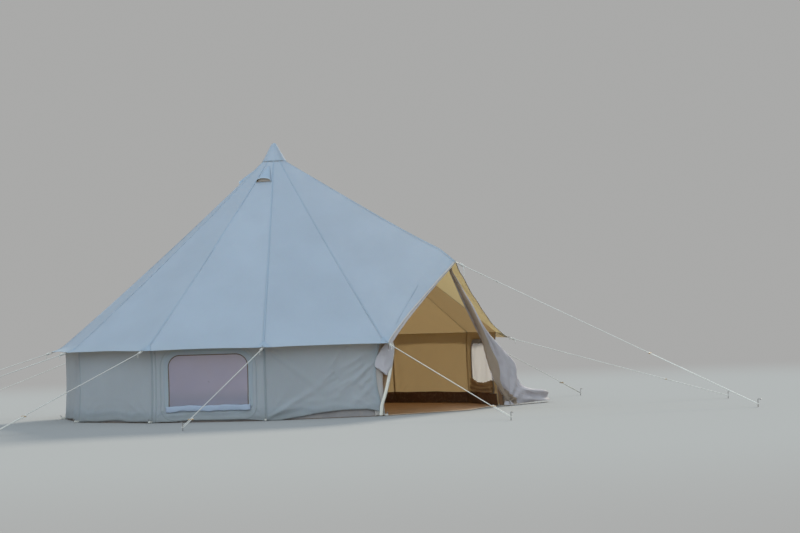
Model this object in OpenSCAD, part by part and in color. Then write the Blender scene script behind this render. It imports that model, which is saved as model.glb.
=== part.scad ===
// Canvas bell tent with its door thrown open: a twelve-cornered sewn roof on one centre pole, short
// upright walls, a raised door ridge held out by its own rope, two mesh windows, hooded vents, a
// groundsheet with an upstand, and a guy rope with slider and peg at every corner.
// Millimetres, +Z up. The origin is on the ground under the centre pole, and the door faces -Y.
// Angles are counted from the door, towards +X.

/* [Roof] */
// Height of the peak above the ground
peak_h = 3000; // [2800:25:3200]
// Height of the eave corners above the ground
eave_h = 750; // [650:10:850]
// Distance from the centre pole to an eave corner
eave_r = 2550; // [2500:10:2650]
// How far the flared eave stands out past the top of the walls
eave_overhang = 150; // [120:5:180]
// Rise of the roof over that flared strip
flare_rise = 75; // [60:5:90]
// How far the roof slope hangs below a straight line
roof_hollow = 30; // [10:5:50]
// How far the eave edge is cut in halfway between two corners
eave_scallop = 25; // [10:5:40]
// Thickness of the canvas with its seams and hems
canvas_t = 6; // [4:0.5:8]

/* [Cap] */
// Radius of the lower edge of the cap
cap_r = 115; // [95:5:140]
// Height of the cap
cap_h = 195; // [170:5:220]
// Thickness of the reinforced cap
cap_t = 5; // [3:0.5:7]
// How far the side of the cap bows in
cap_bow = 8; // [2:1:12]

/* [Walls] */
// Distance from the centre pole to a corner of the wall's foot
base_r = 2420; // [2390:5:2450]
// How far the wall is drawn in at half its height
wall_waist = 15; // [5:1:25]

/* [Windows] */
// Width of a window
window_w = 920; // [700:10:1000]
// Height of a window
window_h = 600; // [450:10:620]
// Height of the window's lower edge above the ground
window_sill = 130; // [110:5:170]
// Radius of the window's upper corners
window_corner = 150; // [80:5:200]
// Thickness of the insect mesh
mesh_t = 2; // [1:0.5:3]
// Height of the rolled window cover that lies along the sill
cover_h = 60; // [40:5:80]
// Thickness of that rolled cover
cover_t = 22; // [14:2:30]
// Height of the loose cover that has slumped inside the right window
slump_h = 150; // [110:10:180]
// Thickness of that slumped cover
slump_t = 40; // [25:5:60]

/* [Vents] */
// Distance from the centre pole to the mouth of a vent hood
vent_r = 385; // [340:5:430]
// Width of a vent hood at its mouth
vent_w = 170; // [130:5:180]
// Rise of a vent hood at its mouth
vent_rise = 55; // [40:5:70]
// Length of a vent hood in plan
vent_l = 190; // [150:5:210]
// Thickness of a vent hood
vent_t = 4; // [3:0.5:6]

/* [Door] */
// Distance from the centre pole to the tip of the door ridge
apex_r = 2290; // [2200:10:2400]
// Height of the tip of the door ridge
apex_h = 1590; // [1500:10:1700]
// How far the ridge stands above a straight line just behind its tip
ridge_knee = 40; // [0:5:60]
// How far the door's edge sags between the ridge and the eave corner
door_sag = 60; // [20:5:100]
// How far the door's edge is cut back between the ridge and the eave corner, as a share of the slope
door_cut = 0.03; // [0.01:0.005:0.05]
// Height of the leaf that hangs rolled along the door's left edge
roll_h = 65; // [45:5:85]
// Thickness of that roll
roll_t = 14; // [10:1:18]
// Width of the left leaf's tied bundle at the wall's end
bundle_w = 130; // [80:5:140]
// Depth of that bundle
bundle_d = 80; // [60:5:100]
// Half the thickness of the right leaf's folds
fold_t = 26; // [16:2:36]

/* [Groundsheet] */
// Thickness of the groundsheet
floor_t = 4; // [3:0.5:6]
// Height of its upstand above the ground
rim_h = 130; // [100:5:160]
// Thickness of the upstand
rim_t = 4; // [3:0.5:6]
// Space between the upstand and the wall
rim_gap = 14; // [8:1:24]

/* [Centre pole] */
// Diameter of the pole
pole_d = 38; // [30:1:45]
// Diameter of the pole's foot plate
foot_d = 150; // [110:5:200]
// Thickness of the foot plate
foot_t = 12; // [8:1:20]
// Height of the socket on the foot plate
foot_socket = 50; // [30:5:80]

/* [Ropes and pegs] */
// Diameter of the guy ropes
rope_d = 8; // [6:0.5:10]
// Reach of most guy ropes over the ground, from the eave to the peg
guy_reach = 2400; // [2000:50:2800]
// Reach of the two guy ropes that are swung aside
guy_reach_short = 1900; // [1600:50:2200]
// Reach of the rope from the tip of the door ridge
ridge_reach = 3450; // [3000:50:4000]
// Length of a rope slider, across its rope
slider_l = 62; // [50:2:80]
// Diameter of the round slider bar
slider_d = 14; // [11:1:18]
// Diameter of the steel pegs
peg_d = 9; // [7:0.5:12]
// How far a guy peg stands out of the ground
peg_h = 85; // [60:5:110]
// Length of a guy peg's hook
peg_hook = 34; // [24:2:44]
// How far a wall peg stands out of the ground
wall_peg_h = 45; // [35:5:60]
// Length of the webbing loop between the wall and its peg
loop_l = 45; // [30:5:60]
// Width of that webbing loop
loop_w = 26; // [20:2:34]
// Thickness of that webbing
loop_t = 3; // [2:0.5:4]

/* [Hidden] */
bay = 30;                    // angle between two corners
bays = 10;                   // walled bays, from the door's right round the back to its left
fit_gap = 0.3;               // space between sewn pieces
slope_steps = 8;
flare_steps = 3;
flare_bend = 0.5;            // how much steeper the flare starts than it ends
knee_bend = 5;               // how late the door ridge rises towards its knee
edge_steps = 6;              // steps across a door canopy
window_bays = [1, 9];
vent_bays = [3, 6, 9];
foot_corner = 25;            // radius of a window's lower corners
wedge_l = 4000;

half = bay / 2;
cap_z = peak_h - cap_h;
wall_top_r = eave_r - eave_overhang;
flare_z = eave_h + flare_rise;
roof_v = canvas_t * 1.3;     // the canvas measured upright on the slope
wall_t = canvas_t;
wall_top_z = flare_z - roof_v - fit_gap;
wall_mid_z = wall_top_z / 2;
cap_tip_r = pole_d / 2 + cap_t + 6;

// Corner line of the roof from the cap to the eave, as distance and height
roof_rows = concat(
    [for (i = [0 : slope_steps]) let (s = i / slope_steps)
        [cap_r + (wall_top_r - cap_r) * s,
         cap_z + (flare_z - cap_z) * s - roof_hollow * 4 * s * (1 - s)]],
    [for (i = [1 : flare_steps]) let (q = i / flare_steps)
        [wall_top_r + eave_overhang * q, flare_z - flare_rise * (q + flare_bend * q * (1 - q))]]);
roof_last = len(roof_rows) - 1;

// Corner line of the wall from the ground up, as height and distance
wall_rows = [[0, base_r], [wall_mid_z, (base_r + wall_top_r) / 2 - wall_waist], [wall_top_z, wall_top_r]];

two_digits = [for (k = [1 : bays]) str(k < 10 ? "0" : "", k)];

// Each guy rope: angle of its corner, heading over the ground, reach, and where its slider sits
front_guys = [[-30, -30, guy_reach, 0.86], [30, 30, guy_reach, 0.71]];
left_guys = [[-60, -80, guy_reach_short, 0.9], [-90, -90, guy_reach, 0.8], [-120, -120, guy_reach, 0.8]];
right_guys = [[60, 80, guy_reach_short, 0.8], [90, 90, guy_reach, 0.8], [120, 120, guy_reach, 0.8]];
back_guys = [[-150, -150, guy_reach, 0.8], [180, 180, guy_reach, 0.8], [150, 150, guy_reach, 0.8]];
ridge_guy_slider = 0.65;

// The right leaf from the ground up: share of the ridge's height, then its inner edge and its width as
// shares of the way from the door's middle to the foot of the wall
leaf_levels = [[0, 0.93, 0.87], [0.055, 0.88, 0.9], [0.1, 0.83, 0.5], [0.19, 0.69, 0.46], [0.265, 0.63, 0.53],
    [0.315, 0.59, 0.49], [0.43, 0.5, 0.31], [0.535, 0.42, 0.17], [0.71, 0.22, 0.14], [0.865, 0.06, 0.08],
    [0.94, -0.01, 0.04]];

function bay_angle(k) = 45 + bay * (k - 1);
function towards(a) = [sin(a), -cos(a), 0];
function roof_z(r) = lookup(r, roof_rows);
function wall_r(z) = lookup(z, wall_rows);
function mid(r) = r * cos(half);       // distance to the middle of a bay, from that of its corners

// Row i and column j of the left door canopy: column 0 is the sewn seam, the last column is the ridge
function seam_pt(i) = roof_rows[i][0] * towards(-bay) + [0, 0, roof_rows[i][1]];
function ridge_pt(i) = let (s = i / roof_last, knee = i / (roof_last - 1))
    [0, -(cap_r + (apex_r - cap_r) * s),
     cap_z + (apex_h - cap_z) * s + (i < roof_last ? ridge_knee * pow(knee, knee_bend) : 0)];
function canopy_pt(i, j) = let (u = j / edge_steps, b = 1.5 * sqrt(3) * sqrt(u) * (1 - u), s = i / roof_last,
        cut = 1 - door_cut * b * s)
    seam_pt(i) * (1 - u) * cut + ridge_pt(i) * u * cut
    + [0, 0, (1 - cut) * cap_z - door_sag * b * s * s];
function ridge_under(y) = lookup(-y, [for (i = [0 : roof_last]) [-ridge_pt(i)[1], ridge_pt(i)[2]]]) - roof_v;

// A ring of points round an upright ellipse whose long axis is turned by a
function oval(c, w, d, a = 0, n = 10) = [for (k = [0 : n - 1]) let (t = 360 * k / n, x = w * cos(t), y = d * sin(t))
    [c[0] + x * cos(a) - y * sin(a), c[1] + x * sin(a) + y * cos(a), c[2]]];

// Closed sheet between an upper and a lower grid of points
module sheet(top, under) {
    rows = len(top);
    cols = len(top[0]);
    n = rows * cols;
    upper = [for (i = [0 : rows - 2], j = [0 : cols - 2]) let (a = i * cols + j)
        each [[a, a + cols + 1, a + 1], [a, a + cols, a + cols + 1]]];
    edge = concat([for (j = [0 : cols - 2]) j],
                  [for (i = [0 : rows - 2]) i * cols + cols - 1],
                  [for (j = [cols - 1 : -1 : 1]) (rows - 1) * cols + j],
                  [for (i = [rows - 1 : -1 : 1]) i * cols]);
    side = [for (k = [0 : len(edge) - 1]) let (p = edge[k], q = edge[(k + 1) % len(edge)])
        each [[p, q, p + n], [q, q + n, p + n]]];
    polyhedron(concat([for (r = top) each r], [for (r = under) each r]),
               concat(upper, [for (f = upper) [f[2] + n, f[1] + n, f[0] + n]], side));
}

// Closed solid through a list of rings, first ring lowest
module loft(rings) {
    n = len(rings[0]);
    last = (len(rings) - 1) * n;
    polyhedron([for (r = rings) each r],
        concat([[for (k = [0 : n - 1]) k]], [[for (k = [n - 1 : -1 : 0]) last + k]],
            [for (i = [0 : len(rings) - 2], k = [0 : n - 1]) let (a = i * n, m = (k + 1) % n)
                each [[a + k, a + n + k, a + n + m], [a + k, a + n + m, a + m]]]));
}

// Round bar between two points
module bar(p, q, d) {
    v = q - p;
    translate(p)
        rotate([0, acos(v[2] / norm(v)), atan2(v[1], v[0])])
            cylinder(h = norm(v), d = d, $fn = 16);
}

// The slice of space that belongs to one bay, facing the door's way
module bay_wedge() {
    linear_extrude(peak_h + 100)
        polygon([[0, 0], [-wedge_l * tan(half), -wedge_l], [wedge_l * tan(half), -wedge_l]]);
}

// An outline in distance and height, run across the bay
module across_bay(outline) {
    intersection() {
        rotate([90, 0, 90])
            linear_extrude(wedge_l, center = true)
                polygon([for (p = outline) [-p[0], p[1]]]);
        bay_wedge();
    }
}

module roof_panel(k) {
    top = [for (p = roof_rows) [mid(p[0]), p[1]]];
    chord = 2 * eave_r * sin(half);
    scallop_r = chord * chord / 8 / eave_scallop + eave_scallop / 2;
    color("whitesmoke")
        rotate([0, 0, bay_angle(k)])
            difference() {
                across_bay(concat(top, [for (i = [roof_last : -1 : 0]) top[i] - [0, roof_v]]));
                translate([0, -mid(eave_r) + eave_scallop - scallop_r, 0])
                    cylinder(h = peak_h, r = scallop_r, $fn = 180);
                if (len(search(k, vent_bays)) > 0)
                    translate([0, -vent_r + vent_l * 0.1, cap_z - peak_h / 2])
                        linear_extrude(peak_h / 2)
                            intersection() {
                                circle(d = vent_w * 0.7, $fn = 32);
                                translate([-vent_w, 0])
                                    square([2 * vent_w, vent_w]);
                            }
            }
}

module door_canopy_left() {
    top = [for (i = [0 : roof_last]) [for (j = [edge_steps : -1 : 0]) canopy_pt(i, j)]];
    color("whitesmoke")
        sheet(top, [for (r = top) [for (p = r) p - [0, 0, roof_v]]]);
}

module door_canopy_right() {
    mirror([1, 0, 0])
        door_canopy_left();
}

// Side of the cap from its lower edge to the rounded tip
function cap_side(inset) = let (r0 = cap_r - inset, r1 = cap_tip_r - inset, z1 = peak_h - cap_tip_r)
    concat([for (q = [0 : 0.2 : 1]) [r0 + (r1 - r0) * q - cap_bow * 4 * q * (1 - q),
                                     cap_z + fit_gap + (z1 - cap_z - fit_gap) * q]],
           [for (t = [15 : 15 : 90]) [r1 * cos(t), z1 + r1 * sin(t)]]);

module roof_cap() {
    outer = cap_side(0);
    inner = cap_side(cap_t);
    color("whitesmoke")
        rotate_extrude($fn = 48)
            polygon(concat(outer, [for (i = [len(inner) - 1 : -1 : 0]) inner[i]]));
}

module vent_hood(k) {
    steps = 4;
    fans = 8;
    lean = [0, -0.4, 0.9];
    foot = [for (i = [0 : steps]) vent_r - vent_l * (1 - i / steps)];
    top = [for (i = [0 : steps]) let (g = pow(0.08 + 0.92 * i / steps, 0.8)) [for (j = [0 : fans])
        let (t = 180 * j / fans)
            [vent_w / 2 * g * cos(t), -foot[i], roof_z(foot[i] / cos(half)) + fit_gap + vent_t]
            + lean * vent_rise * g * sin(t)]];
    color("whitesmoke")
        rotate([0, 0, bay_angle(k)])
            sheet(top, [for (r = top) [for (p = r) p - [0, 0, vent_t]]]);
}

// A layer of the wall between two depths from its outer face
module wall_layer(depth, thick) {
    outer = [for (p = wall_rows) [mid(p[1]) - depth, p[0]]];
    across_bay(concat(outer, [for (i = [len(outer) - 1 : -1 : 0]) outer[i] - [thick, 0]]));
}

module rounded_window(inset) {
    w = window_w / 2 - inset;
    c = window_corner - inset;
    f = foot_corner - inset;
    low = window_sill + inset;
    high = window_sill + window_h - inset;
    arc = [0 : 10 : 90];
    rotate([90, 0, 0])
        linear_extrude(wedge_l)
            polygon(concat([for (t = arc) [w - c + c * cos(t), high - c + c * sin(t)]],
                           [for (t = arc) [-w + c - c * sin(t), high - c + c * cos(t)]],
                           [for (t = arc) [-w + f - f * cos(t), low + f - f * sin(t)]],
                           [for (t = arc) [w - f + f * sin(t), low + f - f * cos(t)]]));
}

module wall_panel(k) {
    color("gainsboro")
        rotate([0, 0, bay_angle(k)])
            difference() {
                wall_layer(0, wall_t);
                if (len(search(k, window_bays)) > 0)
                    rounded_window(0);
            }
}

module window_mesh(k) {
    color("rosybrown")
        rotate([0, 0, bay_angle(k)])
            intersection() {
                wall_layer((wall_t - mesh_t) / 2, mesh_t);
                rounded_window(fit_gap);
            }
}

// The canvas cover of a window, let down and folded along the sill from height z0, against the outer
// face of the wall where side is 1 and against its inner face where side is -1
module window_cover(k, z0, high, thick, side) {
    lean = (wall_r(z0 + high) - wall_r(z0)) / high;
    y0 = mid(wall_r(z0)) + side * fit_gap - (side < 0 ? wall_t : 0);
    color("aliceblue")
        rotate([0, 0, bay_angle(k)])
            rotate([90, 0, 90])
                linear_extrude(window_w, center = true)
                    polygon([for (t = [0 : 20 : 180]) let (z = high / 2 * (1 - cos(t)))
                        [-y0 - mid(lean) * z - side * thick * sin(t), z0 + z]]);
}

module window_cover_left() {
    window_cover(window_bays[1], window_sill - cover_h / 4, cover_h, cover_t, 1);
}

module window_cover_right() {
    window_cover(window_bays[0], max(window_sill, rim_h) + fit_gap, slump_h, slump_t, -1);
}

// Left leaf: a roll under the sloping door edge, and a tied bundle beside the end of the wall
module door_leaf_left() {
    edge = [for (j = [edge_steps : -1 : 0]) canopy_pt(roof_last, j) - [0, 0, roof_v + fit_gap]];
    inward = [0, roll_t, 0];
    drop = [0, 0, roll_h];
    levels = [[0, 0.2], [0.15, 0.3], [0.4, 0.6], [0.62, 0.85], [0.85, 1], [1, 0.95]];
    foot_z = floor_t + fit_gap;
    bundle_h = eave_h - roof_v - 20 - foot_z;
    color("ivory") {
        sheet([for (p = edge) [p, p + inward]], [for (p = edge) [p - drop, p + inward - drop]]);
        rotate([0, 0, -bay])
            loft([for (v = levels) let (z = foot_z + bundle_h * v[0], d = bundle_d / 2 * v[1])
                [for (t = [-90 : 20 : 90])
                    [fit_gap + bundle_w * v[1] * cos(t), d - wall_r(z) + d * sin(t), z]]]);
    }
}

// Right leaf: gathered under the ridge, let down to the foot of the wall, its tail thrown out
module door_leaf_right() {
    outset = loop_l + peg_hook / 2 + fold_t + 30;
    foot = [base_r * sin(bay), -base_r * cos(bay) - outset];
    tie = [0, 60 - apex_r];
    color("ivory")
        loft(concat(
            [for (v = leaf_levels) let (w = v[2] * foot[0] / 2, s = 1 - v[0])
                oval([foot[0] * v[1] + w, tie[1] + (foot[1] - tie[1]) * s, v[0] * apex_h], w, fold_t)],
            [[for (p = oval([tie[0], tie[1], 0], 2, 30))
                [p[0], p[1], ridge_under(p[1]) - fit_gap - abs(p[0])]]]));
}

module centre_pole() {
    inner_tip = cap_tip_r - cap_t;
    top = peak_h - cap_tip_r + sqrt(inner_tip * inner_tip - pole_d * pole_d / 4) - fit_gap;
    color("silver")
        translate([0, 0, floor_t + foot_t])
            cylinder(h = top - floor_t - foot_t, d = pole_d, $fn = 48);
}

module pole_foot() {
    color("dimgray")
        translate([0, 0, floor_t])
            difference() {
                union() {
                    cylinder(h = foot_t, d = foot_d, $fn = 48);
                    cylinder(h = foot_t + foot_socket, d = pole_d + 16, $fn = 48);
                }
                translate([0, 0, foot_t])
                    cylinder(h = foot_socket + 1, d = pole_d + 2 * fit_gap, $fn = 48);
            }
}

// Distance from the pole to a corner of the upstand's outer face, at height z
function rim_r(z) = wall_r(z) - (wall_t + rim_gap) / cos(half);

module groundsheet_floor() {
    color("peru")
        linear_extrude(floor_t)
            polygon([for (a = [0 : bay : 359]) let (p = towards(a) * (a == 0 ? base_r : rim_r(floor_t)))
                [p[0], p[1]]]);
}

module groundsheet_rim() {
    foot = mid(rim_r(floor_t));
    top = mid(rim_r(rim_h));
    color("tan")
        for (k = [1 : bays])
            rotate([0, 0, bay_angle(k)])
                across_bay([[foot, floor_t], [top, rim_h], [top - rim_t, rim_h], [foot - rim_t, floor_t]]);
}

// One taut rope from a corner to its peg, with the slider bar and the doubled end round the peg
module guy_rope(corner, edge_h, heading, reach, slider_at) {
    way = towards(heading);
    side = [way[1], -way[0], 0];
    splice_d = rope_d * 1.3;
    beside = peg_d / 2 + rope_d / 2 + fit_gap;
    behind = peg_d / 2 + splice_d / 2 + fit_gap;
    loop_end = [corner[0], corner[1], peg_h / 3] + way * (reach + behind);
    from = corner - [0, 0, edge_h / 2];
    dir = (loop_end - from) / norm(loop_end - from);
    start = from + dir * (edge_h / 2 * abs(dir[2]) + fit_gap);
    knot = start + (loop_end - start) * slider_at;
    bar(start, knot, rope_d);
    bar(knot - side * slider_l / 2, knot + side * slider_l / 2, slider_d);
    for (s = [-1, 1])
        bar(knot + side * s * beside, loop_end + side * s * beside, rope_d);
    bar(loop_end - side * (beside + rope_d), loop_end + side * (beside + rope_d), splice_d);
}

module corner_ropes(rows) {
    color("antiquewhite")
        for (g = rows)
            guy_rope(eave_r * towards(g[0]) + [0, 0, eave_h], roof_v, g[1], g[2], g[3]);
}

module guy_lines_front() {
    corner_ropes(front_guys);
    color("antiquewhite")
        guy_rope([0, -apex_r, apex_h], roof_v, 0, ridge_reach, ridge_guy_slider);
}

// A steel peg: an upright rod with its hook turned away from the rope
module peg(at, heading, h, hook) {
    translate(at)
        rotate([0, 0, heading]) {
            cylinder(h = h, d = peg_d, $fn = 24);
            translate([0, 0, h - peg_d / 2])
                rotate([90, 0, 0])
                    cylinder(h = hook, d = peg_d, $fn = 24);
        }
}

module guy_pegs() {
    color("gray") {
        for (g = concat(front_guys, left_guys, right_guys, back_guys))
            peg(eave_r * towards(g[0]) + g[2] * towards(g[1]), g[1], peg_h, peg_hook);
        peg([0, -apex_r - ridge_reach, 0], 0, peg_h, peg_hook);
    }
}

module wall_pegs() {
    color("gray")
        for (k = [1 : bays + 1])
            rotate([0, 0, bay * k])
                translate([0, -base_r - fit_gap - loop_l, 0]) {
                    peg([0, 0, 0], 0, wall_peg_h, peg_hook / 2);
                    translate([-loop_w / 2, 0, 0])
                        cube([loop_w, loop_l, loop_t]);
                }
}

for (k = [1 : bays])
    roof_panel(k);
door_canopy_left();
door_canopy_right();
roof_cap();
vent_hood(vent_bays[2]);  // vent_hood_left
vent_hood(vent_bays[0]);  // vent_hood_right
vent_hood(vent_bays[1]);  // vent_hood_back
for (k = [1 : bays])
    wall_panel(k);
window_mesh(window_bays[1]);  // window_mesh_left
window_mesh(window_bays[0]);  // window_mesh_right
window_cover_left();
window_cover_right();
door_leaf_left();
door_leaf_right();
centre_pole();
pole_foot();
groundsheet_floor();
groundsheet_rim();
guy_lines_front();
corner_ropes(left_guys);  // guy_lines_left
corner_ropes(right_guys);  // guy_lines_right
corner_ropes(back_guys);  // guy_lines_back
guy_pegs();
wall_pegs();
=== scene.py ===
import math

import bpy
import numpy as np
from mathutils import Matrix, Vector


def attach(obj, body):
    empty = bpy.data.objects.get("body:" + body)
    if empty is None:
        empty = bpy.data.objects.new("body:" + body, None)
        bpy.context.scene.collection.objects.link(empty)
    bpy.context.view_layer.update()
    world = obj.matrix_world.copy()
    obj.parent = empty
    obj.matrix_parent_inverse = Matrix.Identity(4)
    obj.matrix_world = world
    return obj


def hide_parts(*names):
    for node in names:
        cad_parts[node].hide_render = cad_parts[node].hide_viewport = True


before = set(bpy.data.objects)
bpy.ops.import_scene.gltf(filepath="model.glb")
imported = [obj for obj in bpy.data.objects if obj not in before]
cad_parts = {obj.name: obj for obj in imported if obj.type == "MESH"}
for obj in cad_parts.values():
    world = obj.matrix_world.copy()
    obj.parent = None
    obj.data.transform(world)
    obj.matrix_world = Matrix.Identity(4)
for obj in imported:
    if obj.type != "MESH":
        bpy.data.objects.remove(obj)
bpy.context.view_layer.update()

# Camera
# The photograph was taken from thirty metres off and a metre up, well to the left of the door.
# Heading, tilt and roll put the peak, the eave corners and the tip of the door ridge where they are in it.
PHOTO_W, FOCAL_PX, SENSOR = 800, 2692, 36.0
VIEW_DISTANCE, VIEW_HEIGHT = 30.0, 1.009
view_az, view_yaw, view_pitch, view_roll = (math.radians(a) for a in (-56.0, 2.60, 1.09, -1.86))


def turned(first, second, angle):
    """Two axes turned in their own plane, the first towards the second."""
    return (first * math.cos(angle) + second * math.sin(angle),
            second * math.cos(angle) - first * math.sin(angle))


back = Vector((math.sin(view_az), -math.cos(view_az), 0))
right = Vector((math.cos(view_az), math.sin(view_az), 0))
ahead, right = turned(-back, right, view_yaw)
ahead, up = turned(ahead, Vector((0, 0, 1)), view_pitch)
right, up = turned(right, up, view_roll)
camera_data = bpy.data.cameras.new("camera")
camera_data.sensor_width = SENSOR
camera_data.lens = FOCAL_PX / PHOTO_W * SENSOR
camera_data.clip_end = 500
camera = bpy.data.objects.new("camera", camera_data)
camera.matrix_world = Matrix((right, up, -ahead)).transposed().to_4x4()
camera.location = back * VIEW_DISTANCE + Vector((0, 0, VIEW_HEIGHT))
bpy.context.scene.collection.objects.link(camera)
bpy.context.scene.camera = camera
bpy.context.scene.view_settings.view_transform = "Standard"

# Floor, backdrop and light
# A plain pale floor that fades into a backdrop of its own colour, so that there is no horizon line.
# Two broad soft lamps stand where the open sky and the low sun are in the photograph.
FLOOR_SHADE = (0.40, 0.40, 0.395, 1)
FLOOR_R = 160.0
FADE_FROM, FADE_TO = 9.0, 22.0
SKY_SHADE, SKY_STRENGTH = (0.80, 0.91, 1.0, 1), 0.56


def node(tree, kind, **settings):
    """A new shader node. Lower-case names are its options, the others its sockets by name or number."""
    made = tree.nodes.new("ShaderNode" + kind)
    for name, value in settings.items():
        if name[0].islower():
            setattr(made, name, value)
            continue
        socket = made.inputs[int(name[1:]) if name[0] == "_" else name.replace("_", " ")]
        if isinstance(value, bpy.types.NodeSocket):
            tree.links.new(value, socket)
        else:
            socket.default_value = value
    return made


def maths(tree, operation, *values):
    """The result of one sum on numbers or sockets."""
    return node(tree, "Math", operation=operation, **{f"_{i}": v for i, v in enumerate(values)}).outputs[0]


def blank(name):
    """A new material with an empty node tree and its output node."""
    material = bpy.data.materials.new(name)
    material.use_nodes = True
    material.node_tree.nodes.clear()
    return material, material.node_tree, material.node_tree.nodes.new("ShaderNodeOutputMaterial")


def mesh_object(name, points, faces):
    """A new mesh object in the scene."""
    mesh = bpy.data.meshes.new(name)
    mesh.from_pydata([tuple(p) for p in points], [], faces)
    made = bpy.data.objects.new(name, mesh)
    bpy.context.scene.collection.objects.link(made)
    return made


rim = [(FLOOR_R * math.cos(t), FLOOR_R * math.sin(t), 0.0) for t in np.linspace(0, 2 * math.pi, 97)[:-1]]
floor = mesh_object("floor", rim, [tuple(range(96))])
floor.location.z = -0.001
floor_paint, tree, out = blank("floor_paint")
radius = node(tree, "VectorMath", operation="LENGTH", _0=node(tree, "NewGeometry").outputs["Position"])
fade = node(tree, "MapRange", interpolation_type="SMOOTHSTEP", Value=radius.outputs["Value"],
            From_Min=FADE_FROM, From_Max=FADE_TO)
matt = node(tree, "BsdfDiffuse", Color=FLOOR_SHADE)
far = node(tree, "Emission", Color=FLOOR_SHADE)
seen = node(tree, "LightPath")
faded = maths(tree, "MULTIPLY", fade.outputs["Result"], seen.outputs["Is Camera Ray"])
mix = node(tree, "MixShader", _0=faded, _1=matt.outputs[0], _2=far.outputs[0])
tree.links.new(mix.outputs[0], out.inputs[0])
floor.data.materials.append(floor_paint)

world = bpy.data.worlds.new("studio")
bpy.context.scene.world = world
world.use_nodes = True
tree = world.node_tree
tree.nodes.clear()
seen = node(tree, "LightPath")
light = node(tree, "Background", Color=SKY_SHADE, Strength=SKY_STRENGTH)
drop = node(tree, "Background", Color=FLOOR_SHADE, Strength=1.0)
plain = maths(tree, "MAXIMUM", seen.outputs["Is Camera Ray"], seen.outputs["Is Glossy Ray"])
plain = maths(tree, "MAXIMUM", plain, seen.outputs["Is Transmission Ray"])
mix = node(tree, "MixShader", _0=plain, _1=light.outputs[0], _2=drop.outputs[0])
out = tree.nodes.new("ShaderNodeOutputWorld")
tree.links.new(mix.outputs[0], out.inputs[0])


def soft_sun(name, heading, height, spread, strength, colour):
    """A broad soft lamp that shines from a heading (0 is the door's side, +90 its right) and a height."""
    lamp = bpy.data.lights.new(name, "SUN")
    lamp.angle = math.radians(spread)
    lamp.energy = strength
    lamp.color = colour
    a, e = math.radians(heading), math.radians(height)
    towards_lamp = Vector((math.sin(a) * math.cos(e), -math.cos(a) * math.cos(e), math.sin(e)))
    made = bpy.data.objects.new(name, lamp)
    made.rotation_mode = "QUATERNION"
    made.rotation_quaternion = towards_lamp.to_track_quat("Z", "Y")
    bpy.context.scene.collection.objects.link(made)


soft_sun("sky_side_lamp", -74, 40, 60, 1.30, (0.80, 0.92, 1.0))
soft_sun("low_lamp", 100, 24, 9, 3.6, (1.0, 0.93, 0.80))

# Roof panels
# Ten gores of cotton canvas, cut to run from the cap down the slope and over the flared eave. The cream
# canvas is painted pale blue and dim for the open sky's shade. They are flat between two corners, a little
# slack in the middle and tight at each corner.
BAY = math.radians(30)
HALF = BAY / 2
BAYS = 10
PEAK_H, EAVE_H, EAVE_R, OVERHANG = 3.0, 0.75, 2.55, 0.15
FLARE_RISE, FLARE_BEND, ROOF_HOLLOW, SCALLOP = 0.075, 0.5, 0.03, 0.025
CAP_R, CAP_H = 0.115, 0.195
CAP_Z = PEAK_H - CAP_H
WALL_TOP_R = EAVE_R - OVERHANG
FLARE_Z = EAVE_H + FLARE_RISE
CLOTH_T, SLACK = 0.0022, 0.007
EAVE_HEM, EAVE_HEM_LIFT = 0.05, 0.0012
# Painted shade: the roof's cream canvas is coloured pale blue and dim for the open sky's shade.
ROOF_SKY_SHADE, ROOF_GLOW, LINING_PAINTED_GLOW = (0.535, 0.665, 0.815), (0.80, 0.80, 0.72), (0.78, 0.62, 0.40)
VENT_R, VENT_W, VENT_RISE, VENT_L = 0.385, 0.170, 0.055, 0.190
VENT_BAYS = {9: "left", 3: "right", 6: "back"}
VENT_HOLE_R, VENT_HOLE_AT = VENT_W * 0.35, VENT_R - VENT_L * 0.1
# A wave texture of scale 1 repeats every 0.314 m. Stitches repeat every 4 mm, here as radians for a metre
WAVE_PERIOD, STITCH_RATE, STITCH_HALF_W = 0.314, 1570.0, 0.0006
LOW_DARK_COLOUR = (0.42, 0.36, 0.26, 1)
UP = np.array((0, 0, 1.0))


def towards(a):
    """The level direction at an angle counted from the door, towards +X."""
    return np.array((math.sin(a), -math.cos(a), 0.0))


def across(a):
    """The level direction along the foot of a bay that faces angle a."""
    return np.array((math.cos(a), math.sin(a), 0.0))


def facing(a, out, over, z):
    """Points at distances out from the pole towards angle a and over to its side, at height z."""
    out, over, z = np.broadcast_arrays(out, over, z)
    return towards(a) * out[..., None] + across(a) * over[..., None] + UP * z[..., None]


def bay_angle(k):
    """The angle that bay k faces."""
    return math.radians(45) + BAY * (k - 1)


def roof_line(t):
    """Distance and height of a corner line: t runs 0 to 1 down the slope, and on to 2 over the flare."""
    s, q = min(t, 1.0), max(t - 1.0, 0.0)
    return (CAP_R + (WALL_TOP_R - CAP_R) * s + OVERHANG * q,
            CAP_Z + (FLARE_Z - CAP_Z) * s - ROOF_HOLLOW * 4 * s * (1 - s)
            - FLARE_RISE * (q + FLARE_BEND * q * (1 - q)))


def ripple(x, y, seed, size, stretch=1.0, waves=14):
    """Soft seeded unevenness from -1 to 1, of that size across, longer along y by the stretch."""
    rng = np.random.default_rng(seed)
    total = np.zeros(np.broadcast(x, y).shape)
    for _ in range(waves):
        heading, phase = rng.uniform(0, 2 * math.pi, 2)
        turns = rng.uniform(0.6, 1.5) * 2 * math.pi / size
        total += np.sin(turns * (x * math.cos(heading) + y * math.sin(heading) / stretch) + phase)
    return total / math.sqrt(waves) / 1.5


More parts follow.
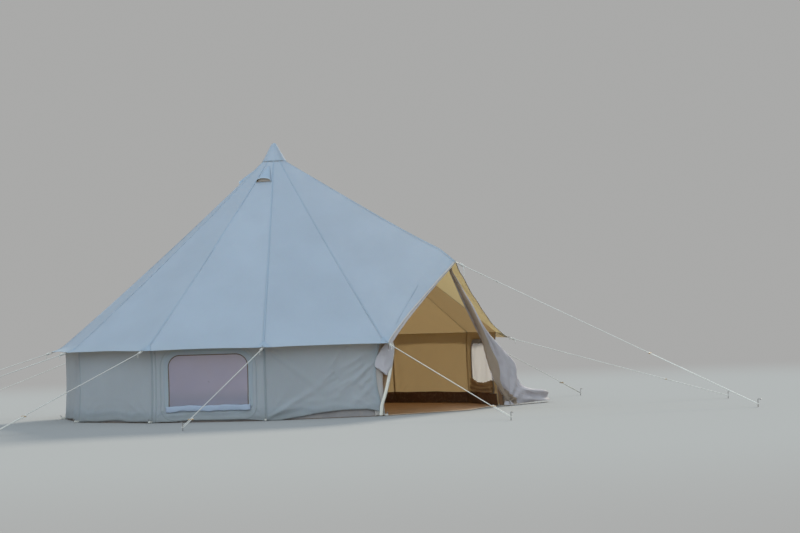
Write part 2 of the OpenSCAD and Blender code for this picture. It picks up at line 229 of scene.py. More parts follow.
def crease(x, y, start, end, width):
    """How near each point is to a fold from start to end: 1 on its line, less sideways and to its end."""
    start, end = np.array(start), np.array(end)
    run = end - start
    t = ((x - start[0]) * run[0] + (y - start[1]) * run[1]) / (run @ run)
    side = ((x - start[0]) * run[1] - (y - start[1]) * run[0]) / np.linalg.norm(run)
    reach = np.clip(t, 0, 1)
    spread = width * (0.45 + 0.9 * reach)
    return np.where((t > -0.15) & (t < 1), np.exp(-(side / spread) ** 2) * (1 - reach) ** 0.8, 0)


def cloth_normals(points, ring=False):
    """Unit normals of a grid whose rows run down and columns left to right, seen from where they point."""
    down = np.gradient(points, axis=0)
    if ring:
        over = (np.roll(points, -1, axis=1) - np.roll(points, 1, axis=1)) / 2
    else:
        over = np.gradient(points, axis=1)
    n = np.cross(down, over)
    return n / np.maximum(np.linalg.norm(n, axis=2, keepdims=True), 1e-12)


def lifted(points, lift, ring=False):
    """A grid of points moved off its face by a height for each point, row or column."""
    return points + cloth_normals(points, ring) * np.asarray(lift)[..., None]


def run_along(line):
    """How far each point of a line lies along it."""
    return np.cumsum(np.linalg.norm(np.diff(line, axis=0, prepend=line[:1]), axis=1))


def walked(points):
    """How far each point of a grid lies across its row and down its column, along the cloth."""
    x = np.cumsum(np.linalg.norm(np.diff(points, axis=1, prepend=points[:, :1]), axis=2), axis=1)
    y = np.cumsum(np.linalg.norm(np.diff(points, axis=0, prepend=points[:1]), axis=2), axis=0)
    return np.stack([x, y], -1)


def finish_piece(piece, slot, *nodes):
    """The piece belongs to the tent's one body and stands for those nodes. slot is not used."""
    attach(piece, "root")
    if nodes:
        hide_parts(*nodes)
    return piece


def cloth(name, points, skins, slot, *nodes, flat=None, thick=CLOTH_T, keep=None, ring=False):
    """A closed cloth piece through a grid of points on its outer face. skins is its material, or the outer
    and the inner one, flat is each point's place in the cut cloth, keep says which cells are cloth, and a
    ring joins the last column to the first. It stands for the nodes, and slot is not used."""
    rows, cols = points.shape[:2]
    inner = points - cloth_normals(points, ring) * thick
    wide = cols if ring else cols - 1
    keep = np.ones((rows - 1, wide), bool) if keep is None else keep
    n = rows * cols
    faces, skin = [], []
    for i, j in zip(*np.nonzero(keep)):
        m = (j + 1) % cols
        a, b, c, d = i * cols + j, i * cols + m, (i + 1) * cols + m, (i + 1) * cols + j
        faces += [(a, d, c, b), (a + n, b + n, c + n, d + n)]
        skin += [0, 1]
        rims = (((b, a), i - 1, j), ((d, c), i + 1, j), ((a, d), i, j - 1), ((c, b), i, j + 1))
        for (p, q), si, sj in rims:
            sj = sj % cols if ring else sj
            if not (0 <= si < rows - 1 and 0 <= sj < wide and keep[si, sj]):
                faces.append((q, p, p + n, q + n))
                skin.append(0)
    used = np.unique(np.array([v for f in faces for v in f]))
    renumber = np.zeros(2 * n, int)
    renumber[used] = np.arange(len(used))
    both = np.concatenate([points.reshape(-1, 3), inner.reshape(-1, 3)])[used]
    made = mesh_object(name, both, [tuple(int(renumber[v]) for v in f) for f in faces])
    mesh = made.data
    flat = walked(points) if flat is None else flat
    places = np.concatenate([flat.reshape(-1, 2)] * 2)[used]
    loops = np.zeros(len(mesh.loops), int)
    mesh.loops.foreach_get("vertex_index", loops)
    mesh.uv_layers.new(name="cut").data.foreach_set("uv", places[loops].ravel())
    for material in skins if isinstance(skins, tuple) else (skins, skins):
        mesh.materials.append(material)
    mesh.polygons.foreach_set("material_index", np.array(skin, np.int32))
    mesh.polygons.foreach_set("use_smooth", np.ones(len(faces), bool))
    return finish_piece(made, slot, *nodes)


def ramp(tree, value, dark, light, start=0.0, end=1.0):
    """A colour that goes from dark to light while a value goes from start to end."""
    made = node(tree, "ValToRGB", Fac=value)
    for stop, colour, at in zip(made.color_ramp.elements, (dark, light), (start, end)):
        stop.position = at
        stop.color = (*colour, 1)
    return made.outputs[0]


def mixed(tree, share, first, second, blend="MIX"):
    """Two colours mixed by a share."""
    return node(tree, "Mix", data_type="RGBA", blend_type=blend, _0=share, _6=first, _7=second).outputs[2]


def threads(tree, pitch, wobble):
    """Two waves that cross at right angles along the cut cloth, one period every pitch."""
    place = node(tree, "UVMap", uv_map="cut").outputs[0]
    return [node(tree, "TexWave", bands_direction=axis, Vector=place, Scale=WAVE_PERIOD / pitch,
                 Distortion=wobble).outputs["Fac"] for axis in "XY"]


def surface(tree, colour, rough, relief, strength, depth, **more):
    """A plain surface and the bump that shapes it."""
    bump = node(tree, "Bump", Strength=strength, Distance=depth, Height=relief).outputs[0]
    skin = node(tree, "BsdfPrincipled", Base_Color=colour, Roughness=rough, Normal=bump, **more).outputs[0]
    return skin, bump


def canvas(name, colour, weave=0.0011, through=0.35, through_colour=(0.95, 0.80, 0.55), low_darkening=0.0,
           stitches=()):
    """Plain-woven cotton that lets some light through: thread by thread bump, slubs and soft uneven colour.
    low_darkening sets how much darker and browner it turns near the ground, and stitches are the places
    across a seam where rows of stitches run."""
    material, tree, out = blank(name)
    cut = node(tree, "UVMap", uv_map="cut").outputs[0]
    body = node(tree, "TexCoord").outputs["Object"]
    tone = node(tree, "TexNoise", Vector=body, Scale=1.7, Detail=5.0, Roughness=0.6)
    along_threads = node(tree, "VectorMath", operation="MULTIPLY", _0=cut, _1=(220.0, 14.0, 1.0)).outputs[0]
    slub = node(tree, "TexNoise", Vector=along_threads, Scale=1.0, Detail=2.0)
    dark, light = [c * 0.94 for c in colour], [min(c * 1.04, 1) for c in colour]
    shown = ramp(tree, tone.outputs[0], dark, light, 0.30, 0.72)
    shown = mixed(tree, 0.16, shown, slub.outputs["Color"], "SOFT_LIGHT")
    if low_darkening:
        height = node(tree, "SeparateXYZ", Vector=body).outputs[2]
        patchy = node(tree, "TexNoise", Vector=body, Scale=7.0, Detail=6.0, Roughness=0.7)
        level = maths(tree, "MULTIPLY", patchy.outputs[0], 0.26)
        low = node(tree, "MapRange", Value=height, From_Min=0.0, From_Max=level, To_Min=low_darkening, To_Max=0.0)
        shown = mixed(tree, low.outputs[0], shown, LOW_DARK_COLOUR, "MULTIPLY")
    woven = maths(tree, "MULTIPLY", *threads(tree, weave, 0.6))
    relief = maths(tree, "ADD", woven, slub.outputs[0])
    if stitches:
        spot = node(tree, "SeparateXYZ", Vector=cut)
        wave = maths(tree, "SINE", maths(tree, "MULTIPLY", spot.outputs[1], STITCH_RATE))
        beat = maths(tree, "GREATER_THAN", wave, -0.2)
        for at in stitches:
            off = maths(tree, "ABSOLUTE", maths(tree, "SUBTRACT", spot.outputs[0], at))
            thread = maths(tree, "MULTIPLY", maths(tree, "LESS_THAN", off, STITCH_HALF_W), beat)
            relief = maths(tree, "ADD", relief, maths(tree, "MULTIPLY", thread, -1.6))
            shown = mixed(tree, thread, shown, (*(c * 0.72 for c in colour), 1))
    skin, bump = surface(tree, shown, 0.9, relief, 0.25, 0.0006, Specular_IOR_Level=0.15, Sheen_Weight=0.12,
                         Sheen_Roughness=0.6)
    glow = node(tree, "BsdfTranslucent", Color=(*through_colour, 1), Normal=bump).outputs[0]
    tree.links.new(node(tree, "MixShader", _0=through, _1=skin, _2=glow).outputs[0], out.inputs[0])
    return material


roof_canvas = canvas("roof_canvas", ROOF_SKY_SHADE, through_colour=ROOF_GLOW)
# Painted light: the lining's golden brown is low sun glowing through the cream canvas.
roof_lining = canvas("roof_lining", LINING_PAINTED_GLOW, through=0.5, through_colour=(0.88, 0.66, 0.38))


def gore_point(t, u, a):
    """A point of the gore that faces angle a: t as in roof_line, u from -1 to 1 between its two corners."""
    cut = 1 - SCALLOP * (1 - u * u) / (OVERHANG * math.cos(HALF))
    r, z = roof_line(1 + (t - 1) * cut if t > 1 else t)
    s = min(t, 1.0)
    dip = SLACK * (1 - u * u) * 4 * s * (1 - s)
    return facing(a, r * math.cos(HALF) - dip * 0.65, r * math.sin(HALF) * u, z - dip * 0.75)


def slope_steps(rows, flare_rows, extra=()):
    """Values of t down the slope and over the flare, with any extra ones between."""
    flare = 1 + np.linspace(0, 1, flare_rows + 1)[1:]
    return np.unique(np.concatenate([np.linspace(0, 1, rows), flare, extra]))


for k in range(1, BAYS + 1):
    a = bay_angle(k)
    round_hole = np.arange(0.31, 0.386, 0.004) if k in VENT_BAYS else np.array(())
    ts, us = slope_steps(72, 12, (round_hole - CAP_R) / (WALL_TOP_R - CAP_R)), np.linspace(-1, 1, 33)
    points = np.array([[gore_point(t, u, a) for u in us] for t in ts])
    length = run_along(points[:, len(us) // 2])
    half_width = np.array([roof_line(t)[0] * math.sin(HALF) for t in ts])[:, None]
    x, y = np.broadcast_arrays(us * half_width, length[:, None])
    end, wide = length[-1], half_width[-1, 0]
    # Slack cloth, creases that run in from the two eave corners, and puckers beside the seams
    lift = 0.0016 * ripple(x, y, 100 + k, 0.55, 2.0)
    rng = np.random.default_rng(40 + k)
    for side in (-1, 1):
        for lean, run in ((0.10, 0.75), (0.42, 0.62), (0.85, 0.45)):
            lean, run = lean + rng.uniform(-0.06, 0.06), run * rng.uniform(0.8, 1.2)
            tip = (side * (wide - run * math.sin(lean)), end - run * math.cos(lean))
            lift = lift + 0.0030 * crease(x, y, (side * wide, end), tip, 0.022)
        from_seam = half_width * (1 - side * us)
        pucker = np.sin(y * 2 * math.pi / 0.062 + 3 * ripple(from_seam, y, 7 * k + side, 0.4))
        lift = lift + 0.0010 * np.exp(-from_seam / 0.05) * pucker
    points = lifted(points, lift + EAVE_HEM_LIFT * (y > end - EAVE_HEM))
    keep = None
    if k in VENT_BAYS:
        middle = (points[:-1, :-1] + points[1:, 1:]) / 2
        out, over = middle @ towards(a), middle @ across(a)
        keep = ~((np.hypot(out - VENT_HOLE_AT, over) < VENT_HOLE_R) & (out < VENT_HOLE_AT))
    gore = cloth(f"roof_canvas_{k:02d}", points, (roof_canvas, roof_lining), "canvas",
                 f"roof_panel_{k:02d}", flat=np.stack([x, y], -1), keep=keep)

# Door canopies
# The two gores beside the door, which rise from the seam at the first corner to the raised door ridge.
# Their lower edge sags between the eave corner and the ridge tip, and is bound with a doubled hem.
APEX_R, APEX_H, RIDGE_KNEE = 2.29, 1.59, 0.04
KNEE_AT, KNEE_BEND = 10 / 11, 5
SLOPE_SHARE = 8 / 11
DOOR_SAG, DOOR_CUT = 0.06, 0.03
HEM_W, HEM_T = 0.015, 0.0009


def share_down(t):
    """The share of the way from the cap to the edge that a canopy has run at t."""
    return SLOPE_SHARE * t if t <= 1 else SLOPE_SHARE + (1 - SLOPE_SHARE) * (t - 1)


def ridge_point(s):
    """A point of the door ridge, which stands up to a knee just behind its tip."""
    straight = CAP_Z + (APEX_H - CAP_Z) * s
    knee = RIDGE_KNEE * (s / KNEE_AT) ** KNEE_BEND if s < KNEE_AT else RIDGE_KNEE * (1 - s) / (1 - KNEE_AT)
    return np.array((0, -(CAP_R + (APEX_R - CAP_R) * s), straight + knee))


def canopy_point(t, u, side):
    """A point of a door canopy: u runs from 0 at the sewn seam to 1 at the ridge."""
    s = share_down(t)
    b = 1.5 * math.sqrt(3) * math.sqrt(u * u / (u + 0.02)) * (1 - u) if u > 0 else 0.0
    cut = 1 - DOOR_CUT * b * s
    r, z = roof_line(t)
    seam = towards(side * BAY) * r + UP * z
    return seam * (1 - u) * cut + ridge_point(s) * u * cut + UP * ((1 - cut) * CAP_Z - DOOR_SAG * b * s * s)


# Painted light: the canopies' inner faces are golden for low sun glowing through them.
canopy_lining = canvas("canopy_lining", (0.95, 0.77, 0.52), through=0.8, through_colour=(1.0, 0.85, 0.54))
door_hem_cloth = canvas("door_hem_cloth", (0.74, 0.72, 0.70), through=0.3,
                        through_colour=(0.95, 0.80, 0.62), stitches=(0.004, HEM_W - 0.004))
door_canopies = {}
for name, side in (("left", -1), ("right", 1)):
    us = (np.linspace(0, 1, 49) ** 1.3)[::-side]
    points = np.array([[canopy_point(t, u, side) for u in us] for t in slope_steps(84, 20)])
    flat = walked(points)
    x, y = flat[..., 0], flat[..., 1]
    from_edge = 1 - y / y[-1]
    lift = 0.0018 * ripple(x, y, 300 + side, 0.5, 2.0)
    lift = lift + 0.006 * np.exp(-(from_edge / 0.10) ** 2) * ripple(x, 0 * y[-1:], 320 + side, 0.30)
    points = lifted(points, lift)
    canopy = cloth(f"door_canopy_{name}_canvas", points, (roof_canvas, canopy_lining), "canvas",
                   f"door_canopy_{name}", flat=flat)
    edge, inside = points[-1], points[-2]
    inward = (inside - edge) / np.linalg.norm(inside - edge, axis=1, keepdims=True)
    n = cloth_normals(points)[-1]
    turn = [(HEM_W, 0.0012), (HEM_W - 0.001, 0.0022), (0.001, 0.0022), (-0.003, 0.0), (-0.003, -CLOTH_T),
            (0.001, -CLOTH_T - 0.0022), (HEM_W - 0.001, -CLOTH_T - 0.0022), (HEM_W, -CLOTH_T - 0.0012)]
    turned_edge = np.array([edge + inward * w + n * h for w, h in turn])
    hem = cloth(f"door_hem_{name}", turned_edge, door_hem_cloth, "canvas",
                flat=walked(turned_edge)[..., ::-1], thick=HEM_T)
    door_canopies[name] = points

# Roof seams
# The gores are joined with flat-felled seams, sewn twice, down every corner line and the door ridge.
# A doubled band is sewn over the roof along the door's edge, and a patch strengthens each eave corner.
SEAM_HALF, SEAM_T = 0.0075, 0.0012
PATCH_FROM, PATCH_TOP_W, PATCH_GAIN, PATCH_T, PATCH_LIFT = 1.15, 0.012, 0.085, 0.0018, 0.0032
# Painted shade: the seam cloth takes the roof's sky-shade blue, a little darker.
seam_cloth = canvas("seam_cloth", (0.505, 0.635, 0.785), through_colour=ROOF_GLOW,
                    stitches=(-0.0045, 0.0045))


def beside_seam(t, w, corner):
    """A point beside a corner line, w to its right along the cloth, on whichever piece lies there."""
    side = 1 if w >= 0 else -1
    if corner in (1, 11) and (side < 0) == (corner == 1):
        which = 1 if corner == 1 else -1
        width = np.linalg.norm(canopy_point(t, 1, which) - canopy_point(t, 0, which))
        return canopy_point(t, abs(w) / width, which)
    if corner == 0:
        width = np.linalg.norm(canopy_point(t, 1, side) - canopy_point(t, 0, side))
        return canopy_point(t, 1 - abs(w) / width, side)
    half_width = roof_line(t)[0] * math.sin(HALF)
    return gore_point(t, -side * (1 - abs(w) / half_width), corner * BAY + side * HALF)


for corner in range(12):
    profile = [(-SEAM_HALF, 0.0003), (-SEAM_HALF * 0.9, 0.0018), (-SEAM_HALF * 0.5, 0.0024), (0, 0.0026),
               (SEAM_HALF * 0.5, 0.0024), (SEAM_HALF * 0.9, 0.0018), (SEAM_HALF, 0.0003)]
    points = np.array([[beside_seam(t, w, corner) for w, h in profile] for t in slope_steps(100, 16)])
    points = lifted(points, [[h for w, h in profile]])
    name = "door_ridge_seam" if corner == 0 else f"roof_seam_{corner:02d}"
    cloth(name, points, seam_cloth, "canvas", flat=walked(points) - (SEAM_HALF, 0), thick=SEAM_T)

for corner in range(1, 12):
    rows = []
    for t in np.linspace(PATCH_FROM, 2.0, 14):
        reach = PATCH_TOP_W + PATCH_GAIN * (t - PATCH_FROM) / (2.0 - PATCH_FROM)
        rows.append([beside_seam(t, w, corner) for w in np.linspace(-reach, reach, 13)])
    points = lifted(np.array(rows), PATCH_LIFT)
    cloth(f"corner_patch_{corner:02d}", points, seam_cloth, "canvas", thick=PATCH_T)

for name, side in (("left", -1), ("right", 1)):
    us = np.linspace(0.20, 0.62, 40)[::-side]
    points = np.array([[canopy_point(1.78 - 0.16 * (u - 0.12) + width * 2.4, u, side) for u in us]
                       for width in (0.0, 0.001, 0.007, 0.008)])
    points = lifted(points, [[0.0030], [0.0044], [0.0044], [0.0030]])
    cloth(f"door_facing_{name}", points, seam_cloth, "canvas", flat=walked(points)[..., ::-1] - (0.004, 0),
          thick=SEAM_T)

# Roof cap
# A cone of doubled canvas sewn over the top of the gores, with its rounded tip over the end of the pole.
# A stitched hem closes it round its lower edge.
CAP_TIP_R, CAP_SLOPE, FIT = 0.032, math.radians(30), 0.0003
# Painted shade: the cap takes the roof's sky-shade blue.
cap_cloth = canvas("cap_cloth", ROOF_SKY_SHADE, through_colour=ROOF_GLOW, stitches=(0.006, 0.016))
tip_z = PEAK_H - CAP_TIP_R
profile = [(CAP_TIP_R * math.cos(t), tip_z + CAP_TIP_R * math.sin(t))
           for t in np.linspace(1.54, CAP_SLOPE, 9)]
shoulder, brow = profile[-1], (CAP_R + 0.006, CAP_Z + 0.012)
profile += [(shoulder[0] + (brow[0] - shoulder[0]) * q, shoulder[1] + (brow[1] - shoulder[1]) * q)
            for q in np.linspace(0, 1, 30)[1:]]
profile += [(CAP_R + out, CAP_Z + up) for out, up in ((0.0105, 0.004), (0.0145, -0.004), (0.0175, -0.0115))]
turns = np.linspace(0, 2 * math.pi, 97)[:-1]
points = np.array([[towards(a) * r * (1 + 0.006 * math.cos(12 * a)) + UP * z for a in turns]
                   for r, z in profile])
heights = np.array([z for r, z in profile])[:, None]
lift = 0.0014 * (heights < CAP_Z + 0.008) + 0.0008 * ripple(turns * 0.1, heights, 21, 0.06)
points = lifted(points, lift, ring=True)
down = run_along(points[:, 0])
cap = cloth("roof_cap_canvas", points, (cap_cloth, roof_lining), "canvas", "roof_cap", ring=True,
            flat=np.stack(np.broadcast_arrays((down[-1] - down)[:, None], turns * 0.1), -1))

# Vent hoods
# Three small hoods of stiffened canvas over holes in the roof near the cap. Each is a half cone that opens
# downhill, with a piped brim, and a fine brown net fills its mouth.
HOOD_T, VENT_NET_T, PIPING_D = 0.0026, 0.0006, 0.006


def textured(name, dark, light, shade, relief, rough, strength, depth, span=(0, 1), on_cut=False, **more):
    """A material whose colour and bump follow two textures, each given as its kind, output and settings."""
    material, tree, out = blank(name)
    place = node(tree, "UVMap", uv_map="cut") if on_cut else node(tree, "TexCoord")
    place = place.outputs[0 if on_cut else "Object"]
    shown, raised = (node(tree, "Tex" + kind, Vector=place, **settings).outputs[output]
                     for kind, output, settings in (shade, relief))
    colour = ramp(tree, shown, dark, light, *span)
    skin = surface(tree, colour, rough, raised, strength, depth, **more)[0]
    tree.links.new(skin, out.inputs[0])
    return material


# Painted shade: the hood's canvas takes the roof's sky-shade blue.
hood_cloth = canvas("hood_cloth", ROOF_SKY_SHADE, through=0.30, through_colour=ROOF_GLOW)
# Painted shade: the hood's inside is near-black brown for the shade under it.
hood_lining = canvas("hood_lining", (0.13, 0.09, 0.06), through=0.1, through_colour=(0.5, 0.3, 0.15))
net_cells = ("Voronoi", "Distance", {"Scale": 650.0})
net_brown = textured("net_brown", (0.26, 0.20, 0.15), (0.68, 0.60, 0.52), net_cells, net_cells,
                     0.85, 0.4, 0.0005)
# Painted shade: the piping is coloured in the roof's sky-shade blue-grey.
piping = textured("piping", (0.48, 0.54, 0.58), (0.60, 0.67, 0.72),
                  ("Noise", 0, {"Scale": 60.0, "Detail": 3.0}),
                  ("Wave", "Fac", {"Scale": 180.0, "Distortion": 1.0}), 0.85, 0.3, 0.0006)


def roof_z(r):
    """Height of a corner line of the roof at distance r from the pole."""
    return roof_line((r - CAP_R) / (WALL_TOP_R - CAP_R))[1]


def hood_point(p, t, a, shrink=1.0, drop=0.0):
    """A point of a hood: p from 0 at its top to 1 at its mouth, t round its arch from its left foot."""
    foot = VENT_R - VENT_L * (1 - p)
    g = (0.08 + 0.92 * p) ** 0.8 * shrink
    rise = VENT_RISE * 0.92 * g * max(math.sin(t), 0.0) ** (1.3 - 0.68 * p)
    z = roof_z(foot / math.cos(HALF)) + FIT + 0.002 - drop
    return facing(a, foot + 0.4 * rise, -VENT_W / 2 * g * math.cos(t), z + 0.9 * rise)


def carried(path, ring=False):
    """A path's directions, and two directions square to each, carried along it without a twist."""
    if ring:
        along = np.roll(path, -1, axis=0) - np.roll(path, 1, axis=0)
    else:
        along = np.gradient(path, axis=0)
    along /= np.linalg.norm(along, axis=1, keepdims=True)
    side = np.cross(along[0], (0.31, 0.22, 0.93))
    sides = np.zeros_like(path)
    for i, v in enumerate(along):
        side = side - v * (side @ v)
        side /= np.linalg.norm(side)
        sides[i] = side
    return along, sides, np.cross(along, sides)


def skinned(rings, ring=False):
    """Points and faces of a body through rings of points, with its ends closed or joined to each other."""
    count, sides = rings.shape[:2]
    total = count * sides
    faces = []
    for i in range(count if ring else count - 1):
        for k in range(sides):
            a, b = i * sides + k, i * sides + (k + 1) % sides
            faces.append((a, b, (b + sides) % total, (a + sides) % total))
    if not ring:
        faces += [tuple(range(sides))[::-1], tuple(range(total - sides, total))]
    return rings.reshape(-1, 3), faces


def tube(path, d, sides=8, ring=False):
    """A round tube along a path, closed in itself where ring says so."""
    path = np.asarray(path, float)
    along, side, other = carried(path, ring)
    t = 2 * math.pi * np.arange(sides)[None, :, None] / sides
    return skinned(path[:, None] + d / 2 * (side[:, None] * np.cos(t) + other[:, None] * np.sin(t)), ring)


def joined(name, parts, material, slot, *nodes):
    """One smooth piece made of several lists of points and faces."""
    points, faces = [], []
    for p, f in parts:
        faces += [tuple(v + len(points) for v in face) for face in f]
        points += list(p)
    made = mesh_object(name, points, faces)
    made.data.materials.append(material)
    made.data.polygons.foreach_set("use_smooth", np.ones(len(faces), bool))
    return finish_piece(made, slot, *nodes)


for k, name in VENT_BAYS.items():
    a = bay_angle(k)
    arch = np.linspace(0, math.pi, 41)
    points = np.array([[hood_point(p, t, a) for t in arch] for p in np.linspace(0, 1, 31)])
    flat = walked(points)
    points = lifted(points, 0.0012 * ripple(flat[..., 0], flat[..., 1], 60 + k, 0.07))
    hood = cloth(f"vent_hood_{name}_canvas", points, (hood_cloth, hood_lining), "canvas",
                 f"vent_hood_{name}", flat=flat, thick=HOOD_T)
    brim_path = [hood_point(1.0, t, a) + towards(a) * 0.001 for t in arch]
    joined(f"vent_brim_{name}", [tube(brim_path, PIPING_D)], piping, "canvas")
    upper = np.array([hood_point(0.90, t, a, 0.97, 0.002) for t in arch])
    width = np.linspace(0, 1, len(arch))[:, None]
    rows = []
    for q in np.linspace(1, 0, 8):
        foot = np.array([hood_point(0.97 - 0.07 * q, t, a, 0.97, 0.006) * (1, 1, 0) for t in arch[[0, -1]]])
        base = foot[0] * (1 - width) + foot[1] * width
        base[:, 2] = roof_z(VENT_R * 0.96 / math.cos(HALF)) - 0.004
        rows.append(upper * q + base * (1 - q))
    cloth(f"vent_net_{name}", np.array(rows), net_brown, "mesh", thick=VENT_NET_T)

# Eave fittings
# A webbing tab is sewn under each eave corner and under the tip of the door ridge, and holds a steel ring.
# The ring takes the end of that corner's guy rope.
TAB_W, TAB_T, RING_R, RING_D, TIP_STRAP = 0.025, 0.002, 0.013, 0.004, 0.045
GUY_REACH, GUY_SHORT, RIDGE_REACH, PEG_H = 2.4, 1.9, 3.45, 0.085
# Each guy rope: the angle of its corner, its heading, its reach over the ground and where its slider sits
GUYS = {"front": [(-30, -30, GUY_REACH, 0.86), (30, 30, GUY_REACH, 0.71)],
        "left": [(-60, -80, GUY_SHORT, 0.9), (-90, -90, GUY_REACH, 0.8), (-120, -120, GUY_REACH, 0.8)],
        "right": [(60, 80, GUY_SHORT, 0.8), (90, 90, GUY_REACH, 0.8), (120, 120, GUY_REACH, 0.8)],
        "back": [(-150, -150, GUY_REACH, 0.8), (180, 180, GUY_REACH, 0.8), (150, 150, GUY_REACH, 0.8)]}
RIDGE_GUY = (0, 0, RIDGE_REACH, 0.65)
# How thick the solid roof is, measured upright
ROOF_V = 0.006 * 1.3
webbing = textured("webbing", (0.55, 0.53, 0.47), (0.74, 0.72, 0.66),
                   ("Noise", 0, {"Scale": 90.0, "Detail": 3.0}),
                   ("Wave", "Fac", {"bands_direction": "DIAGONAL", "Scale": 150.0, "Distortion": 0.3}),
                   0.8, 0.5, 0.0008, on_cut=True)


def metal(name, colour, rough, rust=0.0):
    """Galvanised steel: faint spangle, rubbed patches, and rust where it is asked for."""
    material, tree, out = blank(name)
    body = node(tree, "TexCoord").outputs["Object"]
    spangle = node(tree, "TexVoronoi", Vector=body, Scale=120.0)
    rubbed = node(tree, "TexNoise", Vector=body, Scale=35.0, Detail=5.0, Roughness=0.65).outputs[0]
    shown = ramp(tree, spangle.outputs["Distance"], [c * 0.82 for c in colour], colour)
    if rust:
        stain = node(tree, "MapRange", Value=rubbed, From_Min=0.52, From_Max=0.66, To_Max=rust)
        shown = mixed(tree, stain.outputs[0], shown, (0.20, 0.09, 0.04, 1))
    gloss = node(tree, "MapRange", Value=rubbed, To_Min=rough - 0.12, To_Max=rough + 0.15)
    skin = surface(tree, shown, gloss.outputs[0], rubbed, 0.15, 0.0004, Metallic=0.9)[0]
    tree.links.new(skin, out.inputs[0])
    return material


def guy_ends(guy):
    """Where a rope leaves its corner, where it turns round its peg, its heading, its pull and its side."""
    corner_at, heading, reach = guy[:3]
    way = towards(math.radians(heading))
    corner = towards(math.radians(corner_at)) * EAVE_R + UP * EAVE_H
    if guy == RIDGE_GUY:
        corner = ridge_point(1.0)
    foot = corner * (1, 1, 0) + UP * PEG_H / 3 + way * (reach + 0.01)
    start = corner - UP * ROOF_V / 2
    pull = (foot - start) / np.linalg.norm(foot - start)
    return start, foot, way, pull, np.cross(way, UP)


def strap(name, path, width, side, thick=TAB_T):
    """A flat webbing strap of that width and thickness along a path."""
    grid = np.array([path + side * w for w in np.linspace(-width / 2, width / 2, 5)]).transpose(1, 0, 2)
    return cloth(name, grid, webbing, "rope", thick=thick)


rings = []
for guy in sum(GUYS.values(), []) + [RIDGE_GUY]:
    start, foot, way, pull, side = guy_ends(guy)
    at_tip = guy == RIDGE_GUY
    out = TIP_STRAP if at_tip else 0.0
    centre = start + pull * (RING_R - 0.004 + out)
    upright = np.cross(side, pull)
    rings.append(tube([centre + RING_R * (pull * math.cos(t) + upright * math.sin(t))
                       for t in np.linspace(0, 2 * math.pi, 29)[:-1]], RING_D, 10, ring=True))
    home = -towards(math.radians(guy[0]))
    under = UP * -0.006
    inside = start + home * 0.055 + UP * (0.055 * (0.62 if at_tip else 0.30)) + under
    path = [inside, start + under + home * 0.004, start + pull * (0.010 + out),
            start + pull * (0.012 + out) + upright * 0.003, start + pull * (0.009 + out) + upright * 0.005,
            start + UP * 0.004 + home * 0.004]
    strap("eave_tab_tip" if at_tip else f"eave_tab_{guy[0] % 360:03d}", np.array(path), TAB_W, side)
joined("eave_rings", rings, metal("ring_steel", (0.62, 0.63, 0.64), 0.38), "steel")

# Walls
# Ten short canvas walls, sewn under the roof where the flared eave begins, and pegged down at each corner.
# Their cloth hangs a little slack, with creases from the corners, and the hem lifts between the pegs.
BASE_R, WALL_WAIST = 2.42, 0.015
WALL_TOP_Z = FLARE_Z - ROOF_V - FIT
WINDOW_W, WINDOW_H, WINDOW_SILL, WINDOW_CORNER, FOOT_CORNER = 0.92, 0.60, 0.13, 0.15, 0.025
WINDOW_BAYS = {9: "left", 1: "right"}
HEM_LIFTS = {1: 0.012, 2: 0.018, 3: 0.014, 4: 0.02, 5: 0.016, 6: 0.02, 7: 0.022, 8: 0.020, 9: 0.024}
# Beside the door on the left: place across the wall, and height of the hem there
DOOR_HEM = [(-1.0, 0.0), (-0.75, 0.002), (-0.48, 0.022), (-0.20, 0.050), (0.0, 0.065), (0.20, 0.075),
            (0.45, 0.080), (0.70, 0.078), (0.88, 0.055), (1.0, 0.030)]
# Strong folds of that wall: where each starts and ends, and its depth
DOOR_FOLDS = [((-0.60, 0.03), (0.12, 0.42), 0.020), ((-0.55, 0.70), (0.10, 0.20), 0.014),
              ((0.60, 0.62), (0.00, 0.12), 0.024), ((0.62, 0.10), (0.22, 0.50), 0.018),
              ((0.62, 0.74), (0.10, 0.46), 0.018), ((0.60, 0.40), (0.20, 0.06), 0.018),
              ((-0.58, 0.05), (-0.02, 0.22), 0.015)]
END_CURLS = {10: 0.070, 1: -0.030}
WALL_GLOW = (0.80, 0.78, 0.70)
# Painted shade: the walls' cream canvas is coloured darker and blue-grey for the shade they stand in.
wall_canvas = canvas("wall_canvas", (0.445, 0.505, 0.555), low_darkening=0.45, through=0.28,
                     through_colour=WALL_GLOW)
# Painted light: the walls' inner faces are golden brown for low sun glowing through the canvas.
wall_lining = canvas("wall_lining", (0.65, 0.49, 0.31), low_darkening=0.4, through=0.50,
                     through_colour=(1.0, 0.78, 0.46))


def wall_r(z):
    """Distance of a wall corner from the pole at height z."""
    q = z / WALL_TOP_Z
    return BASE_R + (WALL_TOP_R - BASE_R) * q - WALL_WAIST * 4 * q * (1 - q)


